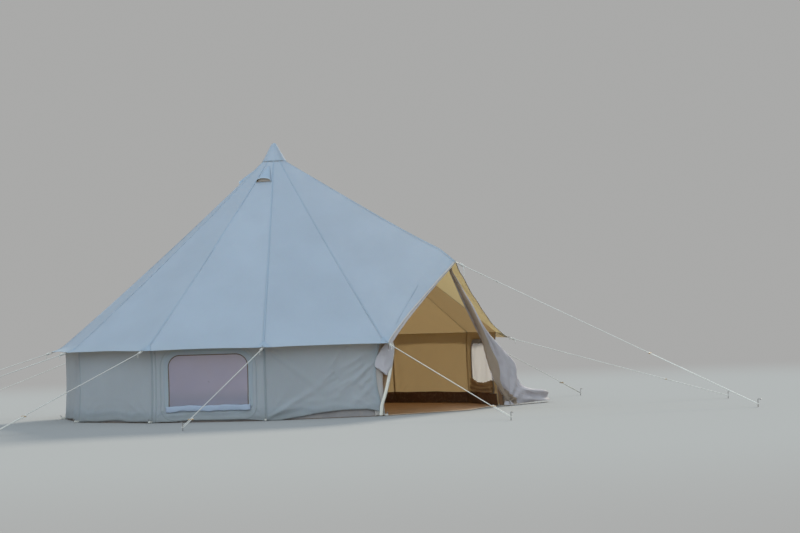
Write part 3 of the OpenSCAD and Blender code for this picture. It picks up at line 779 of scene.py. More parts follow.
def wall_folds(x, z, k):
    """How far the cloth of wall k stands out at x along the bay and height z."""
    wide = wall_r(0.0) * math.sin(HALF)
    rng = np.random.default_rng(500 + k)
    out = 0.006 * ripple(x, z, 510 + k, 0.42, 2.2)
    # Level wrinkles near the foot, and creases that run in from the pegged corners and from the eave
    wrinkles = np.sin(2 * math.pi * z / 0.085 + 2.5 * ripple(x, z, 530 + k, 0.5))
    out = out + 0.0045 * np.exp(-z / 0.10) * wrinkles
    for side in (-1, 1):
        for lean, run, size in ((0.35, 0.42, 0.007), (0.75, 0.50, 0.008), (1.15, 0.55, 0.006)):
            lean, run = lean + rng.uniform(-0.12, 0.12), run * rng.uniform(0.7, 1.2)
            tip = (side * (wide - run * math.sin(lean)), 0.015 + run * math.cos(lean))
            out = out + size * crease(x, z, (side * wide, 0.015), tip, 0.026)
            tip = (side * (wide - 0.7 * run * math.sin(lean)), 0.80 - 0.7 * run * math.cos(lean))
            out = out + size * 0.7 * crease(x, z, (side * wide, 0.80), tip, 0.022)
    # The loose wall beside the door has strong folds and many small ones, and one wall is bunched
    if k == 10:
        for start, end, size in DOOR_FOLDS:
            out = out + size * crease(x, z, start, end, 0.034)
        for _ in range(18):
            start = (rng.uniform(0.02, 0.58), rng.uniform(0.32, 0.72))
            run, lean = rng.uniform(0.14, 0.30), rng.uniform(0.45, 1.15)
            end = (start[0] - run * math.cos(lean), start[1] - run * math.sin(lean))
            out = out + rng.choice((-0.006, 0.008)) * crease(x, z, start, end, 0.028)
    if k == 7:
        bunched = 0.012 * np.exp(-((x - 0.40) / 0.2) ** 2) * np.sin(2 * math.pi * x / 0.095)
        out = out + bunched * (1 - 0.6 * z)
    return out + 0.0012 * (z < 0.035)


def hem_height(u, k):
    """How high the hem of wall k hangs over the ground at u. Beside the door it has been pulled well up."""
    if k == 10:
        return np.interp(u, *zip(*DOOR_HEM))
    return HEM_LIFTS[k] * (1 - u * u) ** 0.8 * (1 + 0.25 * np.sin(7 * u + k))


def wall_place(u, v, k):
    """Points of wall k and their places in the cut cloth: u from -1 to 1 across, v from 0 at the hem."""
    hem = hem_height(u, k)
    z = hem + (WALL_TOP_Z - hem) * v
    r = wall_r(z)
    curl = END_CURLS.get(k, 0.0)
    pulled = np.clip(u * np.sign(curl), 0, 1) ** 3 * np.clip(np.sin(math.pi * v), 0, 1)
    x = u * r * math.sin(HALF) - curl * pulled
    out = wall_folds(x, z, k) * (1 - u ** 6) * np.clip((1 - v) * 12, 0, 1)
    return facing(bay_angle(k), r * math.cos(HALF) + out, x, z), np.stack([x, z], -1)


def window_outline(side=0.0, top=0.0, foot=0.0):
    """The window's outline as x and height, grown by those amounts, from its foot's middle to the right."""
    w, c, f = WINDOW_W / 2 + side, WINDOW_CORNER + side, FOOT_CORNER + max(foot, side, 0.0)
    low, high = WINDOW_SILL - foot, WINDOW_SILL + WINDOW_H + top
    quarter = np.radians(np.linspace(0, 90, 13))
    lines = [[(x, low) for x in np.linspace(0, w - f, 14)[:-1]],
             [(w - f + f * math.sin(t), low + f - f * math.cos(t)) for t in quarter],
             [(w, z) for z in np.linspace(low + f, high - c, 22)[1:-1]],
             [(w - c + c * math.cos(t), high - c + c * math.sin(t)) for t in quarter],
             [(x, high) for x in np.linspace(w - c, 0, 14)[1:-1]]]
    right_half = [p for line in lines for p in line]
    left_half = [(-x, z) for x, z in right_half[:0:-1]]
    return np.array(right_half + [(0.0, high)] + left_half)


def on_wall(outline, k):
    """An outline's u and v on wall k."""
    x, z = outline[..., 0], outline[..., 1]
    u = x / (wall_r(z) * math.sin(HALF))
    hem = hem_height(u, k)
    return u, (z - hem) / (WALL_TOP_Z - hem)


def round_window(k):
    """u and v of a grid that runs from the window's edge out to the border of wall k."""
    spots = np.stack(on_wall(window_outline(), k), -1)
    centre = np.array((0.0, 0.52))
    ray = spots - centre
    to_side, to_end = (1 / np.maximum(np.abs(ray), 1e-9)).T
    to_end = to_end * np.where(ray[:, 1] > 0, 1 - centre[1], centre[1])
    border = centre + ray * np.minimum(to_side, to_end)[:, None]
    for corner in ((-1, 0), (1, 0), (1, 1), (-1, 1)):
        border[np.argmin(np.linalg.norm(border - np.array(corner), axis=1))] = corner
    shares = (np.linspace(0, 1, 22) ** 0.9)[:, None, None]
    grid = spots[None] * (1 - shares) + border[None] * shares
    return grid[..., 0], grid[..., 1]


for k in range(1, BAYS + 1):
    ring = k in WINDOW_BAYS
    if ring:
        u, v = round_window(k)
    else:
        columns, rows = (101, 61) if k == 10 else (81, 45)
        u, v = np.meshgrid(np.linspace(-1, 1, columns), np.linspace(1, 0, rows))
    points, flat = wall_place(u, v, k)
    wall = cloth(f"wall_canvas_{k:02d}", points, (wall_canvas, wall_lining), "wall_canvas",
                 f"wall_panel_{k:02d}", flat=flat, ring=ring)

# Wall seams
# Upright flat-felled seams join the walls at the corners, with one more in each window's wall. The ends of
# the walls at the door have a broad doubled hem.
SEAM_LIFT, INNER_SEAM_LIFT = 0.0030, 0.0022
# Painted shade: the wall seams are coloured darker and blue-grey, like the walls.
wall_seam_cloth = canvas("wall_seam_cloth", (0.41, 0.46, 0.495), low_darkening=0.45, through=0.28,
                         through_colour=WALL_GLOW, stitches=(-0.0045, 0.0045))


def upright_seam(name, k, u_at, half_w, height=SEAM_LIFT):
    """A raised strip of cloth up wall k at u_at."""
    wide = wall_r(0.4) * math.sin(HALF)
    offsets = np.array([-1.0, -0.85, 0.0, 0.85, 1.0]) * half_w / wide
    points, flat = wall_place(*np.meshgrid(np.clip(u_at + offsets, -1, 1), np.linspace(1, 0, 50)), k)
    points = lifted(points, np.array([[0.0004, 0.6, 1.0, 0.6, 0.0004]]) * height)
    cloth(name, points, wall_seam_cloth, "wall_canvas", flat=flat - (u_at * wide, 0.0), thick=SEAM_T)


for k in range(1, BAYS + 1):
    upright_seam(f"wall_seam_{k:02d}", k, 0.975 if k == 10 else 0.992, 0.014 if k == 10 else 0.008)
    upright_seam(f"wall_seam_{k:02d}_left", k, -0.975 if k == 1 else -0.992, 0.014 if k == 1 else 0.008)
for k in WINDOW_BAYS:
    upright_seam(f"wall_seam_{k:02d}_inner", k, -0.93 if k == 9 else 0.93, 0.006, INNER_SEAM_LIFT)

# Windows
# Two arched openings closed with pale insect net, painted violet-grey for sky shade and the dark inside
# behind it. A canvas facing with brown tape along it holds the net's edge, and a seam runs round outside it
# where the window's surround is sewn into the wall.
NET_DEEP, NET_T, NET_FOLDS = -0.0018, 0.0006, 0.003
net_violet, tree, out = blank("net_violet")
knit = maths(tree, "MAXIMUM", *threads(tree, 0.0016, 0.2))
cloudy = node(tree, "TexNoise", Vector=node(tree, "UVMap", uv_map="cut").outputs[0], Scale=4.0, Detail=3.0)
tint = ramp(tree, cloudy.outputs[0], (0.40, 0.42, 0.62), (0.51, 0.53, 0.75))
# Painted shade: the net's lower part is coloured darker, for the shaded upstand seen behind it.
height = node(tree, "SeparateXYZ", Vector=node(tree, "TexCoord").outputs["Object"]).outputs[2]
low = node(tree, "MapRange", Value=height, From_Min=0.28, From_Max=0.34, To_Min=0.8, To_Max=0.0)
tint = mixed(tree, low.outputs[0], tint, (0.36, 0.42, 0.60, 1))
skin, bump = surface(tree, tint, 0.7, knit, 0.3, 0.0005)
glow = node(tree, "BsdfTranslucent", Color=(1.0, 0.98, 0.93, 1), Normal=bump)
knitted = node(tree, "MixShader", _0=0.55, _1=skin, _2=glow.outputs[0])
gaps = node(tree, "BsdfTransparent", Color=(1, 1, 1, 1))
mix = node(tree, "MixShader", _0=0.74, _1=gaps.outputs[0], _2=knitted.outputs[0])
tree.links.new(mix.outputs[0], out.inputs[0])
brown_tape = canvas("brown_tape", (0.17, 0.12, 0.08), through=0.05, weave=0.0016, stitches=(0.006,))


def band_on_wall(name, inner, outer, k, skin, height):
    """A flat tape on wall k between two outlines, each given as what window_outline takes."""
    inner, outer = window_outline(*inner), window_outline(*outer)
    grid = np.array([inner, inner * 0.88 + outer * 0.12, inner * 0.12 + outer * 0.88, outer])
    points, flat = wall_place(*on_wall(grid, k), k)
    points = lifted(points, [[0.0004], [height], [height], [0.0004]], ring=True)
    flat = np.stack(np.broadcast_arrays([[0.0], [0.0015], [0.0105], [0.012]], run_along(points[0])), -1)
    return cloth(name, points, skin, "wall_canvas", flat=flat, thick=height + 0.0006, ring=True)


for k, name in WINDOW_BAYS.items():
    u, v = on_wall(window_outline(0.008, 0.008, 0.008), k)
    shares = np.linspace(0.0005, 1, 27)[:, None]
    points, flat = wall_place(u.mean() + (u - u.mean()) * shares, v.mean() + (v - v.mean()) * shares, k)
    sway = NET_FOLDS * ripple(flat[..., 0], flat[..., 1], 700 + k, 0.22, 1.6) * (1 - shares ** 4)
    net = cloth(f"window_net_{name}", lifted(points, NET_DEEP + sway, ring=True), net_violet, "mesh",
                f"window_mesh_{name}", flat=flat, thick=NET_T, ring=True)
    binding, tape, surround = (
        band_on_wall(f"window_{what}_{name}", inner, outer, k, skin, height)
        for what, inner, outer, skin, height in (
            ("facing", (-0.022, -0.034, 0.0), (0.030, 0.026, 0.0), wall_canvas, 0.0016),
            ("tape", (-0.030, -0.042, -0.002), (-0.020, -0.032, 0.0), brown_tape, 0.0022),
            ("surround", (0.060, 0.045, 0.100), (0.072, 0.055, 0.108), wall_seam_cloth, 0.0020)))

# Window covers
# Each window has a canvas cover that is sewn along the sill and zips over the net. The left one is let down
# and lies rolled along the sill outside, and the right one has slumped in a heap of folds inside its wall.
ROLL_TURNS, ROLL_HALF_H, ROLL_HALF_T, COVER_T = 4.25, 0.029, 0.0105, 0.0011
# From the sill up inside the wall and down again in folds: distance in from the wall's face, and height
HEAP = [(0.010, 0.150), (0.008, 0.215), (0.010, 0.262), (0.018, 0.276), (0.028, 0.262), (0.031, 0.238),
        (0.024, 0.216), (0.034, 0.204), (0.041, 0.186), (0.032, 0.168), (0.036, 0.156), (0.043, 0.142),
        (0.034, 0.1335), (0.020, 0.1325), (0.013, 0.140), (0.014, 0.172), (0.018, 0.205), (0.021, 0.178),
        (0.024, 0.148)]


def smooth_through(knots, count):
    """Rows of numbers that run smoothly through the knots."""
    knots = np.asarray(knots, float)
    at = np.linspace(0, len(knots) - 1, count)
    i = np.minimum(at.astype(int), len(knots) - 2)
    f = (at - i)[:, None]
    slope = np.gradient(knots, axis=0)
    return (knots[i] * (1 + 2 * f) * (1 - f) ** 2 + slope[i] * f * (1 - f) ** 2
            + knots[i + 1] * f * f * (3 - 2 * f) - slope[i + 1] * f * f * (1 - f))


def over_wall(x, z, k, out):
    """Points on wall k's middle plane with its folds, moved out from it."""
    return facing(bay_angle(k), wall_r(z) * math.cos(HALF) + wall_folds(x, z, k) + out, x, z)


xs = np.linspace(-WINDOW_W / 2 - 0.004, WINDOW_W / 2 + 0.004, 90)
x, t = np.meshgrid(xs, np.linspace(0, 2 * math.pi * ROLL_TURNS, int(24 * ROLL_TURNS)))
tight = 1 - 0.72 * t / t.max()
lumps = ripple(x, t * 0.012, 81, 0.16) * tight
half_h = ROLL_HALF_H * (1 - 0.22 * (1 - tight)) + 0.005 * lumps
half_t = ROLL_HALF_T * tight + 0.0022 * ripple(x, t * 0.01, 82, 0.08) * tight
drooped_end = 0.010 * (x < -0.3) * (-0.3 - x) / 0.16
z = WINDOW_SILL + 0.014 + half_h * np.cos(t) + 0.006 * ripple(x, 0 * x, 83, 0.5) - drooped_end
points = over_wall(x, z, 9, ROLL_HALF_T + 0.003 - half_t * np.sin(t))[::-1]
# Painted shade: the cover's cream canvas is coloured blue for the open sky's shade.
cover_canvas = canvas("cover_canvas", (0.45, 0.53, 0.66), low_darkening=0.2, through=0.2)
roll = cloth("window_cover_left_roll", points, cover_canvas, "wall_canvas", "window_cover_left",
             thick=COVER_T)

xs = np.linspace(WINDOW_W / 2 - 0.002, -WINDOW_W / 2 + 0.002, 110)[None, :]
inwards, heights = smooth_through(HEAP, 90)[:, :, None].transpose(1, 0, 2)
hollow = 0.5 + 0.5 * np.cos(math.pi * xs / (WINDOW_W / 2))
settled = 0.030 * hollow - 0.012 * np.clip(xs / 0.46, 0, 1) ** 2
share = np.clip((heights - 0.14) / 0.13, 0, 1)
z = heights - settled * share + 0.010 * ripple(xs, heights, 91, 0.17, 0.5) * share * (1 - hollow * 0.3)
fold = ripple(xs + 0.5 * heights, heights, 92, 0.06, 1.5)
inwards = 0.008 + (inwards - 0.008) * (0.86 + 0.20 * ripple(xs, heights, 93, 0.22)) + 0.0022 * fold
points = over_wall(xs + 0 * z, z, 1, -np.clip(inwards, 0.0065, 0.044))
# Painted light: the slumped cover is tan-orange for low sun glowing through it.
cover_lining = canvas("cover_lining", (0.52, 0.38, 0.22), through=0.30, through_colour=(0.95, 0.75, 0.45))
slumped = cloth("window_cover_right_canvas", points, cover_lining, "wall_canvas", "window_cover_right",
                thick=COVER_T)

# Right door leaf
# The right half of the door is one panel of canvas. It has been let go from the canopy's edge and hangs
# gathered from the tip of the ridge to the right foot of the wall, with its lower end out on the ground.
# A turned-up corner lies at its foot, and its shaded edge runs back to the end of the wall.
LEAF_Y, LEAF_WRAP, LEAF_TURN_OUT, LEAF_T, LEAF_EDGE_T = -2.222, 0.10, 0.95, 0.0018, 0.0016
# From the tie down to the ground: x and height of the inner edge, x and height of the outer edge, how many
# times the cloth is wrapped round itself, and half its depth
LEAF_ROWS = [(-0.004, 1.612, 0.012, 1.612, 2.2, 0.008), (-0.010, 1.497, 0.028, 1.497, 2.2, 0.020),
             (0.086, 1.375, 0.149, 1.375, 2.2, 0.032), (0.190, 1.250, 0.274, 1.250, 2.1, 0.042),
             (0.298, 1.129, 0.404, 1.129, 2.0, 0.053), (0.423, 0.985, 0.542, 0.985, 1.9, 0.055),
             (0.540, 0.850, 0.690, 0.852, 1.7, 0.052), (0.645, 0.700, 0.955, 0.698, 1.4, 0.040),
             (0.730, 0.520, 1.330, 0.520, 1.2, 0.032), (0.775, 0.430, 1.430, 0.425, 1.1, 0.030),
             (0.838, 0.310, 1.430, 0.325, 1.0, 0.028), (0.912, 0.230, 1.470, 0.245, 1.0, 0.028),
             (0.975, 0.170, 1.570, 0.195, 1.0, 0.030), (1.030, 0.110, 1.760, 0.165, 1.0, 0.034),
             (1.060, 0.060, 2.080, 0.128, 1.0, 0.040), (1.080, 0.012, 2.190, 0.030, 1.0, 0.042)]
# Height, and how far over the panel its one deep valley lies there
LEAF_VALLEY = [(0.10, 0.13), (0.24, 0.22), (0.36, 0.30), (0.50, 0.34), (0.70, 0.48), (0.90, 0.55)]
# The corner at the leaf's foot from the ground up: x and height of its left end, and of its right end
FOOT_CORNER_ROWS = [(0.985, 0.012, 1.245, 0.008), (1.02, 0.030, 1.225, 0.014), (1.07, 0.056, 1.19, 0.030),
                    (1.115, 0.066, 1.145, 0.056)]
# Painted shade: the leaf's cream canvas is coloured lilac-grey for the shade it hangs in.
leaf_canvas = canvas("leaf_canvas", (0.67, 0.65, 0.70), low_darkening=0.12, through=0.30,
                     through_colour=(0.95, 0.86, 0.74))
# Painted light and shade: the leaf's inner face is brown, shade with warm light glowing through it.
leaf_lining = canvas("leaf_lining", (0.40, 0.32, 0.25), low_darkening=0.2, through=0.30,
                     through_colour=(0.95, 0.80, 0.58))
leaf_shade = canvas("leaf_shade", (0.26, 0.185, 0.13), through=0.1, through_colour=(0.8, 0.5, 0.25))

left_x, left_z, right_x, right_z, wraps, depth = smooth_through(LEAF_ROWS, 140).T[..., None]
share = np.linspace(0, 1, 156)[None, :]
turn = -LEAF_TURN_OUT + (2 * math.pi * wraps + LEAF_TURN_OUT) * share
wrapped = np.clip(turn, 0, None)
over = 0.5 - 0.5 * np.cos(turn) * (1 - LEAF_WRAP * wrapped / (2 * math.pi))
x = left_x + (right_x - left_x) * over
z = left_z + (right_z - left_z) * over
along = left_z + 0 * share
half_t = depth * (1 - 0.35 * wrapped / (2 * math.pi))
hem = np.abs(np.sin(np.clip(turn, None, 0)))
fullness = half_t * np.sign(np.sin(wrapped)) * np.abs(np.sin(wrapped)) ** 0.7
y = LEAF_Y - fullness - (half_t + 0.012) * hem ** 0.7
# One deep valley runs down the panel, with a ridge on its inner side and a belly on its outer side
valley = np.interp(along, *zip(*LEAF_VALLEY))
sway = 0.026 * np.exp(-((over - valley) / 0.055) ** 2)
sway = sway - 0.016 * np.exp(-((over - valley + 0.13) / 0.06) ** 2)
sway = sway - 0.014 * np.sin(math.pi * np.clip((over - valley) / (1 - valley), 0, 1))
sway = sway * np.clip((0.95 - along) * 4, 0, 1)
# The outer edge curls in between knee and hip height
rim_band = np.clip((along - 0.26) / 0.10, 0, 1) * np.clip((0.72 - along) / 0.12, 0, 1)
sway = sway + 0.070 * np.clip((over - 0.80) / 0.20, 0, 1) ** 2 * rim_band
# Folds fan out from the foot, and the end on the ground lies in waves
foot_x, foot_z = 1.15, 0.03
spoke = np.arctan2(z - foot_z, x - foot_x)
near = np.exp(-np.hypot(x - foot_x, z - foot_z) / 0.30)
sway = sway + 0.018 * near * np.sin(9 * spoke + 1.0)
thrown = np.clip((x - 1.35) / 0.2, 0, 1) * np.clip((0.20 - along) / 0.08, 0, 1)
sway = sway + thrown * (0.020 * np.sin(z * 58 + 5 * x) + 0.012 * np.sin(x * 15 + 1.0))
points = np.stack([x, y + sway, np.maximum(z, 0.006)], -1)
flat = walked(points)
creases = 0.0028 * ripple(over * 0.9, along, 901, 0.11, 5.0) + 0.0024 * ripple(x, z, 902, 0.10)
creases = creases * np.clip((0.95 - along) * 3, 0.2, 1) * np.clip((right_x - left_x) / 0.1, 0, 1)
points = lifted(points, creases)
points[..., 2] = np.maximum(points[..., 2], 0.005)
leaf_right = cloth("door_leaf_right_canvas", points, (leaf_canvas, leaf_lining), "wall_canvas",
                   "door_leaf_right", flat=flat, thick=LEAF_T)

left_x, left_z, right_x, right_z = smooth_through(FOOT_CORNER_ROWS, 22).T[..., None]
p = np.linspace(0, 1, 30)[None, :]
x = left_x + (right_x - left_x) * p
z = left_z + (right_z - left_z) * p + 0.010 * np.sin(p * 9 + 1.0) * np.linspace(0.4, 1, 22)[:, None]
y = -2.285 + 0.6 * z + 0.008 * np.sin(p * 14)
leaf_corner = cloth("door_leaf_right_corner", np.stack([x, y, np.maximum(z, 0.004)], -1)[::-1], leaf_canvas,
                    "wall_canvas", thick=LEAF_T)

EDGE_TOP = 0.42
z = np.linspace(EDGE_TOP, 0.006, 44)[:, None]
p = np.linspace(0, 1, 18)[None, :]
end_x = np.interp(z, (0.0, 0.10, EDGE_TOP), (1.115, 1.065, 1.150))
wall_x, wall_y = (towards(BAY)[i] * (wall_r(z) - 0.004) for i in (0, 1))
x = wall_x * (1 - p) + end_x * p
y = wall_y * (1 - p) + (LEAF_Y + 0.006) * p + 0.010 * np.sin(p * 7 + 5 * z) * np.sin(math.pi * p)
leaf_edge = cloth("door_leaf_right_edge", np.stack([x, y, z + 0 * p], -1), (leaf_shade, leaf_canvas),
                  "wall_canvas", thick=LEAF_EDGE_T)

# Left door leaf
# The left half of the door is rolled up under the canopy's edge and tied back at the wall's end. Its free
# edge is painted bright cream for the sunlight on it, and its corner is turned outwards over the wall's
# end.
TIE_AT, LEAF_ROLL_T, LEAF_HEM_T = math.radians(-30), 0.009, 0.0010
ACROSS_LEAF, FREE_COLUMN = 56, 44
# Where the hollow between the pleats is painted a darker brown for its shade: along the door, and in height
HOLLOW_X, HOLLOW_Z = (0.015, 0.11), (0.14, 0.62)
# From the eave down: height, and how far the free edge stands out from the end of the wall
FREE_EDGE = [(0.800, 0.112), (0.730, 0.146), (0.660, 0.147), (0.570, 0.132), (0.430, 0.103), (0.310, 0.070),
             (0.210, 0.034), (0.110, -0.006), (0.006, -0.022)]
# The turned corner from its top down: left end's distance along the door and height, then its right end's
TURNED_CORNER = [(0.020, 0.735, 0.100, 0.785), (-0.034, 0.658, 0.130, 0.690), (-0.075, 0.580, 0.124, 0.600),
                 (-0.084, 0.515, 0.104, 0.508), (-0.034, 0.476, 0.060, 0.452), (0.022, 0.424, 0.042, 0.416)]
canopy_edge = door_canopies["left"][-1]
count = len(canopy_edge)
step = 0.35 + 0.65 * np.linspace(1, 0, count) ** 0.7
half_h = 0.004 + 0.032 * np.linspace(1, 0, count) ** 1.1
t = np.linspace(-0.5 * math.pi, 1.9 * math.pi, 40)[:, None]
lumps = ripple(np.linspace(0, 1.5, count)[None, :], t * 0.01, 911, 0.12)
z = -0.010 + half_h * (1 + np.sin(t)) * (1 + 0.10 * lumps) - 2 * half_h
y = 0.008 - LEAF_ROLL_T * np.cos(t) * step * (1 + 0.2 * lumps)
points = canopy_edge[None] + y[..., None] * np.array((0.25, 1.0, 0)) + z[..., None] * UP
# Painted light: the roll is coloured lighter than the leaf's canvas, for the light falling on it.
roll_cloth = canvas("roll_cloth", (0.82, 0.80, 0.83), through=0.3, through_colour=(0.95, 0.80, 0.62))
leaf_roll = cloth("door_leaf_left_roll", points[::-1], roll_cloth, "wall_canvas", thick=0.0016)

z, f = smooth_through(FREE_EDGE, 90).T[..., None]
hollow = np.clip((f + 0.03) / 0.12, 0.12, 1)
section = [(-0.100 + 0 * f, -0.034 + 0 * f), (f * 0.15 - 0.006, -0.030 * hollow),
           (f * 0.50 - 0.004, -0.056 * hollow), (f * 0.85 - 0.004, -0.050 * hollow), (f, -0.020 * hollow),
           (f - 0.002, 0.002 + 0 * f), (f - 0.016, 0.006 + 0 * f), (f - 0.028, -0.003 + 0 * f)]
section = np.array([np.concatenate(pair, 1) for pair in section])
section = np.array([smooth_through(section[:, i], ACROSS_LEAF) for i in range(len(z))])
run = np.linspace(0, 1, ACROSS_LEAF)[None, :]
folds = 0.006 * np.sin(run * 16 + 3 * z) * np.sin(math.pi * run)
folds = folds + 0.003 * ripple(run * 0.3, z, 921, 0.08, 3.0)
points = facing(TIE_AT, wall_r(z) + section[..., 1] + folds * (run < 0.7), section[..., 0], z)
# Painted shade: the pleats' cream canvas is coloured grey for the shade they hang in.
leaf_pleats = canvas("leaf_pleats", (0.60, 0.59, 0.58), low_darkening=0.2, through=0.3)
leaf_left = cloth("door_leaf_left_canvas", points, (leaf_pleats, leaf_lining), "wall_canvas",
                  "door_leaf_left", thick=LEAF_T)
# Painted shade: faces in the hollow between the pleats take a darker brown.
leaf_left.data.materials.append(canvas("leaf_hollow_shade", (0.50, 0.34, 0.21), through=0.3))
for face in leaf_left.data.polygons:
    reach = np.array(face.center) @ across(TIE_AT)
    in_hollow = HOLLOW_X[0] < reach < HOLLOW_X[1] and HOLLOW_Z[0] < face.center[2] < HOLLOW_Z[1]
    if face.material_index == 0 and in_hollow:
        face.material_index = 2

# Painted light: the free edge's hem is coloured bright cream for the sun on it.
hem_painted_sunlit = canvas("hem_painted_sunlit", (0.96, 0.93, 0.84), through=0.2, stitches=(0.004, 0.030))
profile = [(-0.036, 0.0006), (-0.034, 0.0030), (-0.002, 0.0034), (0.003, 0.0005), (0.001, -0.0025)]
points = np.array([[p + across(TIE_AT) * w + towards(TIE_AT) * h for w, h in profile]
                   for p in points[:, FREE_COLUMN]])
leaf_hem = cloth("door_leaf_left_hem", points, hem_painted_sunlit, "wall_canvas", thick=LEAF_HEM_T)

left_x, left_z, right_x, right_z = smooth_through(TURNED_CORNER, 44).T[..., None]
p = np.linspace(0, 1, 44)[None, :]
x = left_x + (right_x - left_x) * p
z = left_z + (right_z - left_z) * p
bulge = 0.020 * np.sin(math.pi * p) ** 0.8 * np.linspace(0.5, 1, 44)[:, None]
out = wall_r(z) + 0.012 - np.clip(-x, 0, None) * math.tan(HALF) + bulge + 0.004 * ripple(x, z, 931, 0.09)
leaf_turn = cloth("door_leaf_left_corner", facing(TIE_AT, out, x, z), leaf_canvas, "wall_canvas",
                  thick=LEAF_T)

# Groundsheet
# A heavy coated sheet, terracotta inside, which is cut to the tent's plan and lies under it. Its upstand
# turns up inside the walls, taupe on its outer side, and a pale tape binds the edge at the doorway.
FLOOR_T, RIM_H, RIM_IN, SHEET_T = 0.004, 0.130, 0.020, 0.0018
TAPE_W, TAPE_T, BINDING_T = 0.045, 0.0012, 0.0008


def coated(name, colour, rough=0.55, scuffs=0.3):
    """Coated woven sheet: a fine square weave under a dull shine, with scuffs and dust."""
    material, tree, out = blank(name)
    body = node(tree, "TexCoord").outputs["Object"]
    patches = node(tree, "TexNoise", Vector=body, Scale=2.2, Detail=6.0, Roughness=0.65).outputs[0]
    shades = ramp(tree, patches, [c * 0.80 for c in colour], [c * 1.12 for c in colour], 0.3, 0.75)
    grit = node(tree, "TexNoise", Vector=body, Scale=26.0, Detail=8.0, Roughness=0.75).outputs[0]
    dusty = node(tree, "MapRange", Value=grit, From_Min=0.50, From_Max=0.72, To_Max=scuffs)
    shades = mixed(tree, dusty.outputs[0], shades, (0.55, 0.42, 0.30, 1))
    gloss = node(tree, "MapRange", Value=grit, To_Min=rough - 0.1, To_Max=rough + 0.2)
    woven = maths(tree, "ADD", *threads(tree, 0.0025, 0.3))
    relief = maths(tree, "ADD", woven, maths(tree, "MULTIPLY", patches, 2.0))
    skin = surface(tree, shades, gloss.outputs[0], relief, 0.25, 0.0008, Specular_IOR_Level=0.35)[0]
    tree.links.new(skin, out.inputs[0])
    return material


def rim_r(z):
    """Distance of a corner of the upstand's outer face from the pole at height z."""
    return wall_r(z) - RIM_IN / math.cos(HALF)


def plan_corner(k):
    """A corner of the groundsheet's plan, k steps from the one at the middle of the doorway."""
    return towards(k * BAY) * (BASE_R - 0.004 if k % 12 == 0 else rim_r(FLOOR_T))


def along_plan(at):
    """A point on the edge of the plan: at counts corners from the middle of the doorway."""
    k = int(math.floor(at + 1e-9))
    f = at - k
    return plan_corner(k) * (1 - f) + plan_corner(k + 1) * f


border = np.array([along_plan(at) for at in np.arange(0, 12, 1 / 18)])
shares = (np.linspace(0.015, 1, 60) ** 0.8)[:, None, None]
points = border[None] * shares
x, y = points[..., 0], points[..., 1]
rumple = 0.0016 * ripple(x, y, 951, 0.45) + 0.0008 * ripple(x, y, 952, 0.12)
points[..., 2] = FLOOR_T + rumple * (1 - shares[..., 0] ** 12)
terracotta = coated("terracotta_sheet", (0.46, 0.27, 0.16))
sheet_floor = cloth("groundsheet_floor_sheet", points, terracotta, "groundsheet", "groundsheet_floor",
                    flat=points[..., :2], thick=SHEET_T, ring=True)

ats = np.linspace(1, 11, 401)
heights = np.linspace(RIM_H, FLOOR_T, 22)
corner_pull = 1 - np.abs(((ats + 0.5) % 1) - 0.5) * 2
plan = np.array([along_plan(at) for at in ats])
points = np.array([plan * (rim_r(z) / rim_r(FLOOR_T)) + UP * z for z in heights])
flat = walked(points)
x, y = flat[..., 0], flat[..., 1]
lean = (heights / RIM_H)[:, None]
slack = 0.0045 * ripple(x, y, 961, 0.28) - 0.003
points = lifted(points, slack * lean * (1 - corner_pull ** 6))
points[..., 2] += 0.004 * lean * ripple(x, 0 * y, 962, 0.5)
rim_outside = coated("rim_outside", (0.31, 0.29, 0.29), rough=0.65)
# Partly painted shade: the upstand's inner face is a dark brown sheet, darkened further for the shade
# inside the walls.
rim_inside = coated("rim_inside", (0.13, 0.07, 0.045), rough=0.6)
upstand = cloth("groundsheet_rim_sheet", points, (rim_outside, rim_inside), "groundsheet",
                "groundsheet_rim", flat=flat, thick=SHEET_T)
binding = np.array([points[0] + (points[1] - points[0]) * w for w in (2.2, 2.0, 0.0)])
n = cloth_normals(binding)[0]
binding = np.concatenate([binding + n * np.array((0.0004, 0.0014, 0.0014))[:, None, None],
                          points[:1] + n * -0.001 + (0, 0, 0.0016),
                          binding[::-1] - n * np.array((0.0032, 0.0032, 0.0022))[:, None, None]])
rim_tape = canvas("rim_tape", (0.24, 0.19, 0.15), weave=0.0016, through=0.05)
bound = cloth("groundsheet_binding", binding, rim_tape, "groundsheet", thick=BINDING_T)

outer = np.array([along_plan(at % 12) for at in np.linspace(-1, 1, 121)])
inner = outer * (1 - TAPE_W / 2.4)
points = np.array([inner * (1 - w) + outer * w for w in (0, 0.03, 0.5, 0.97, 1.0)])
points[..., 2] = FLOOR_T + 0.0022 + np.array([[-0.0012], [0.0], [0.0006], [0.0], [-0.0012]])
points[..., 2] += 0.0012 * ripple(points[..., 0], points[..., 1], 971, 0.2)
across_tape = np.array([[0], [0.0015], [0.0225], [0.0435], [TAPE_W]])
threshold_tape = canvas("threshold_tape", (0.62, 0.53, 0.42), weave=0.0016, through=0.05,
                        stitches=(0.004, 0.041))
threshold = cloth("threshold_tape_strip", points, threshold_tape, "groundsheet", thick=TAPE_T,
                  flat=np.stack(np.broadcast_arrays(across_tape, walked(points)[..., 0]), -1))

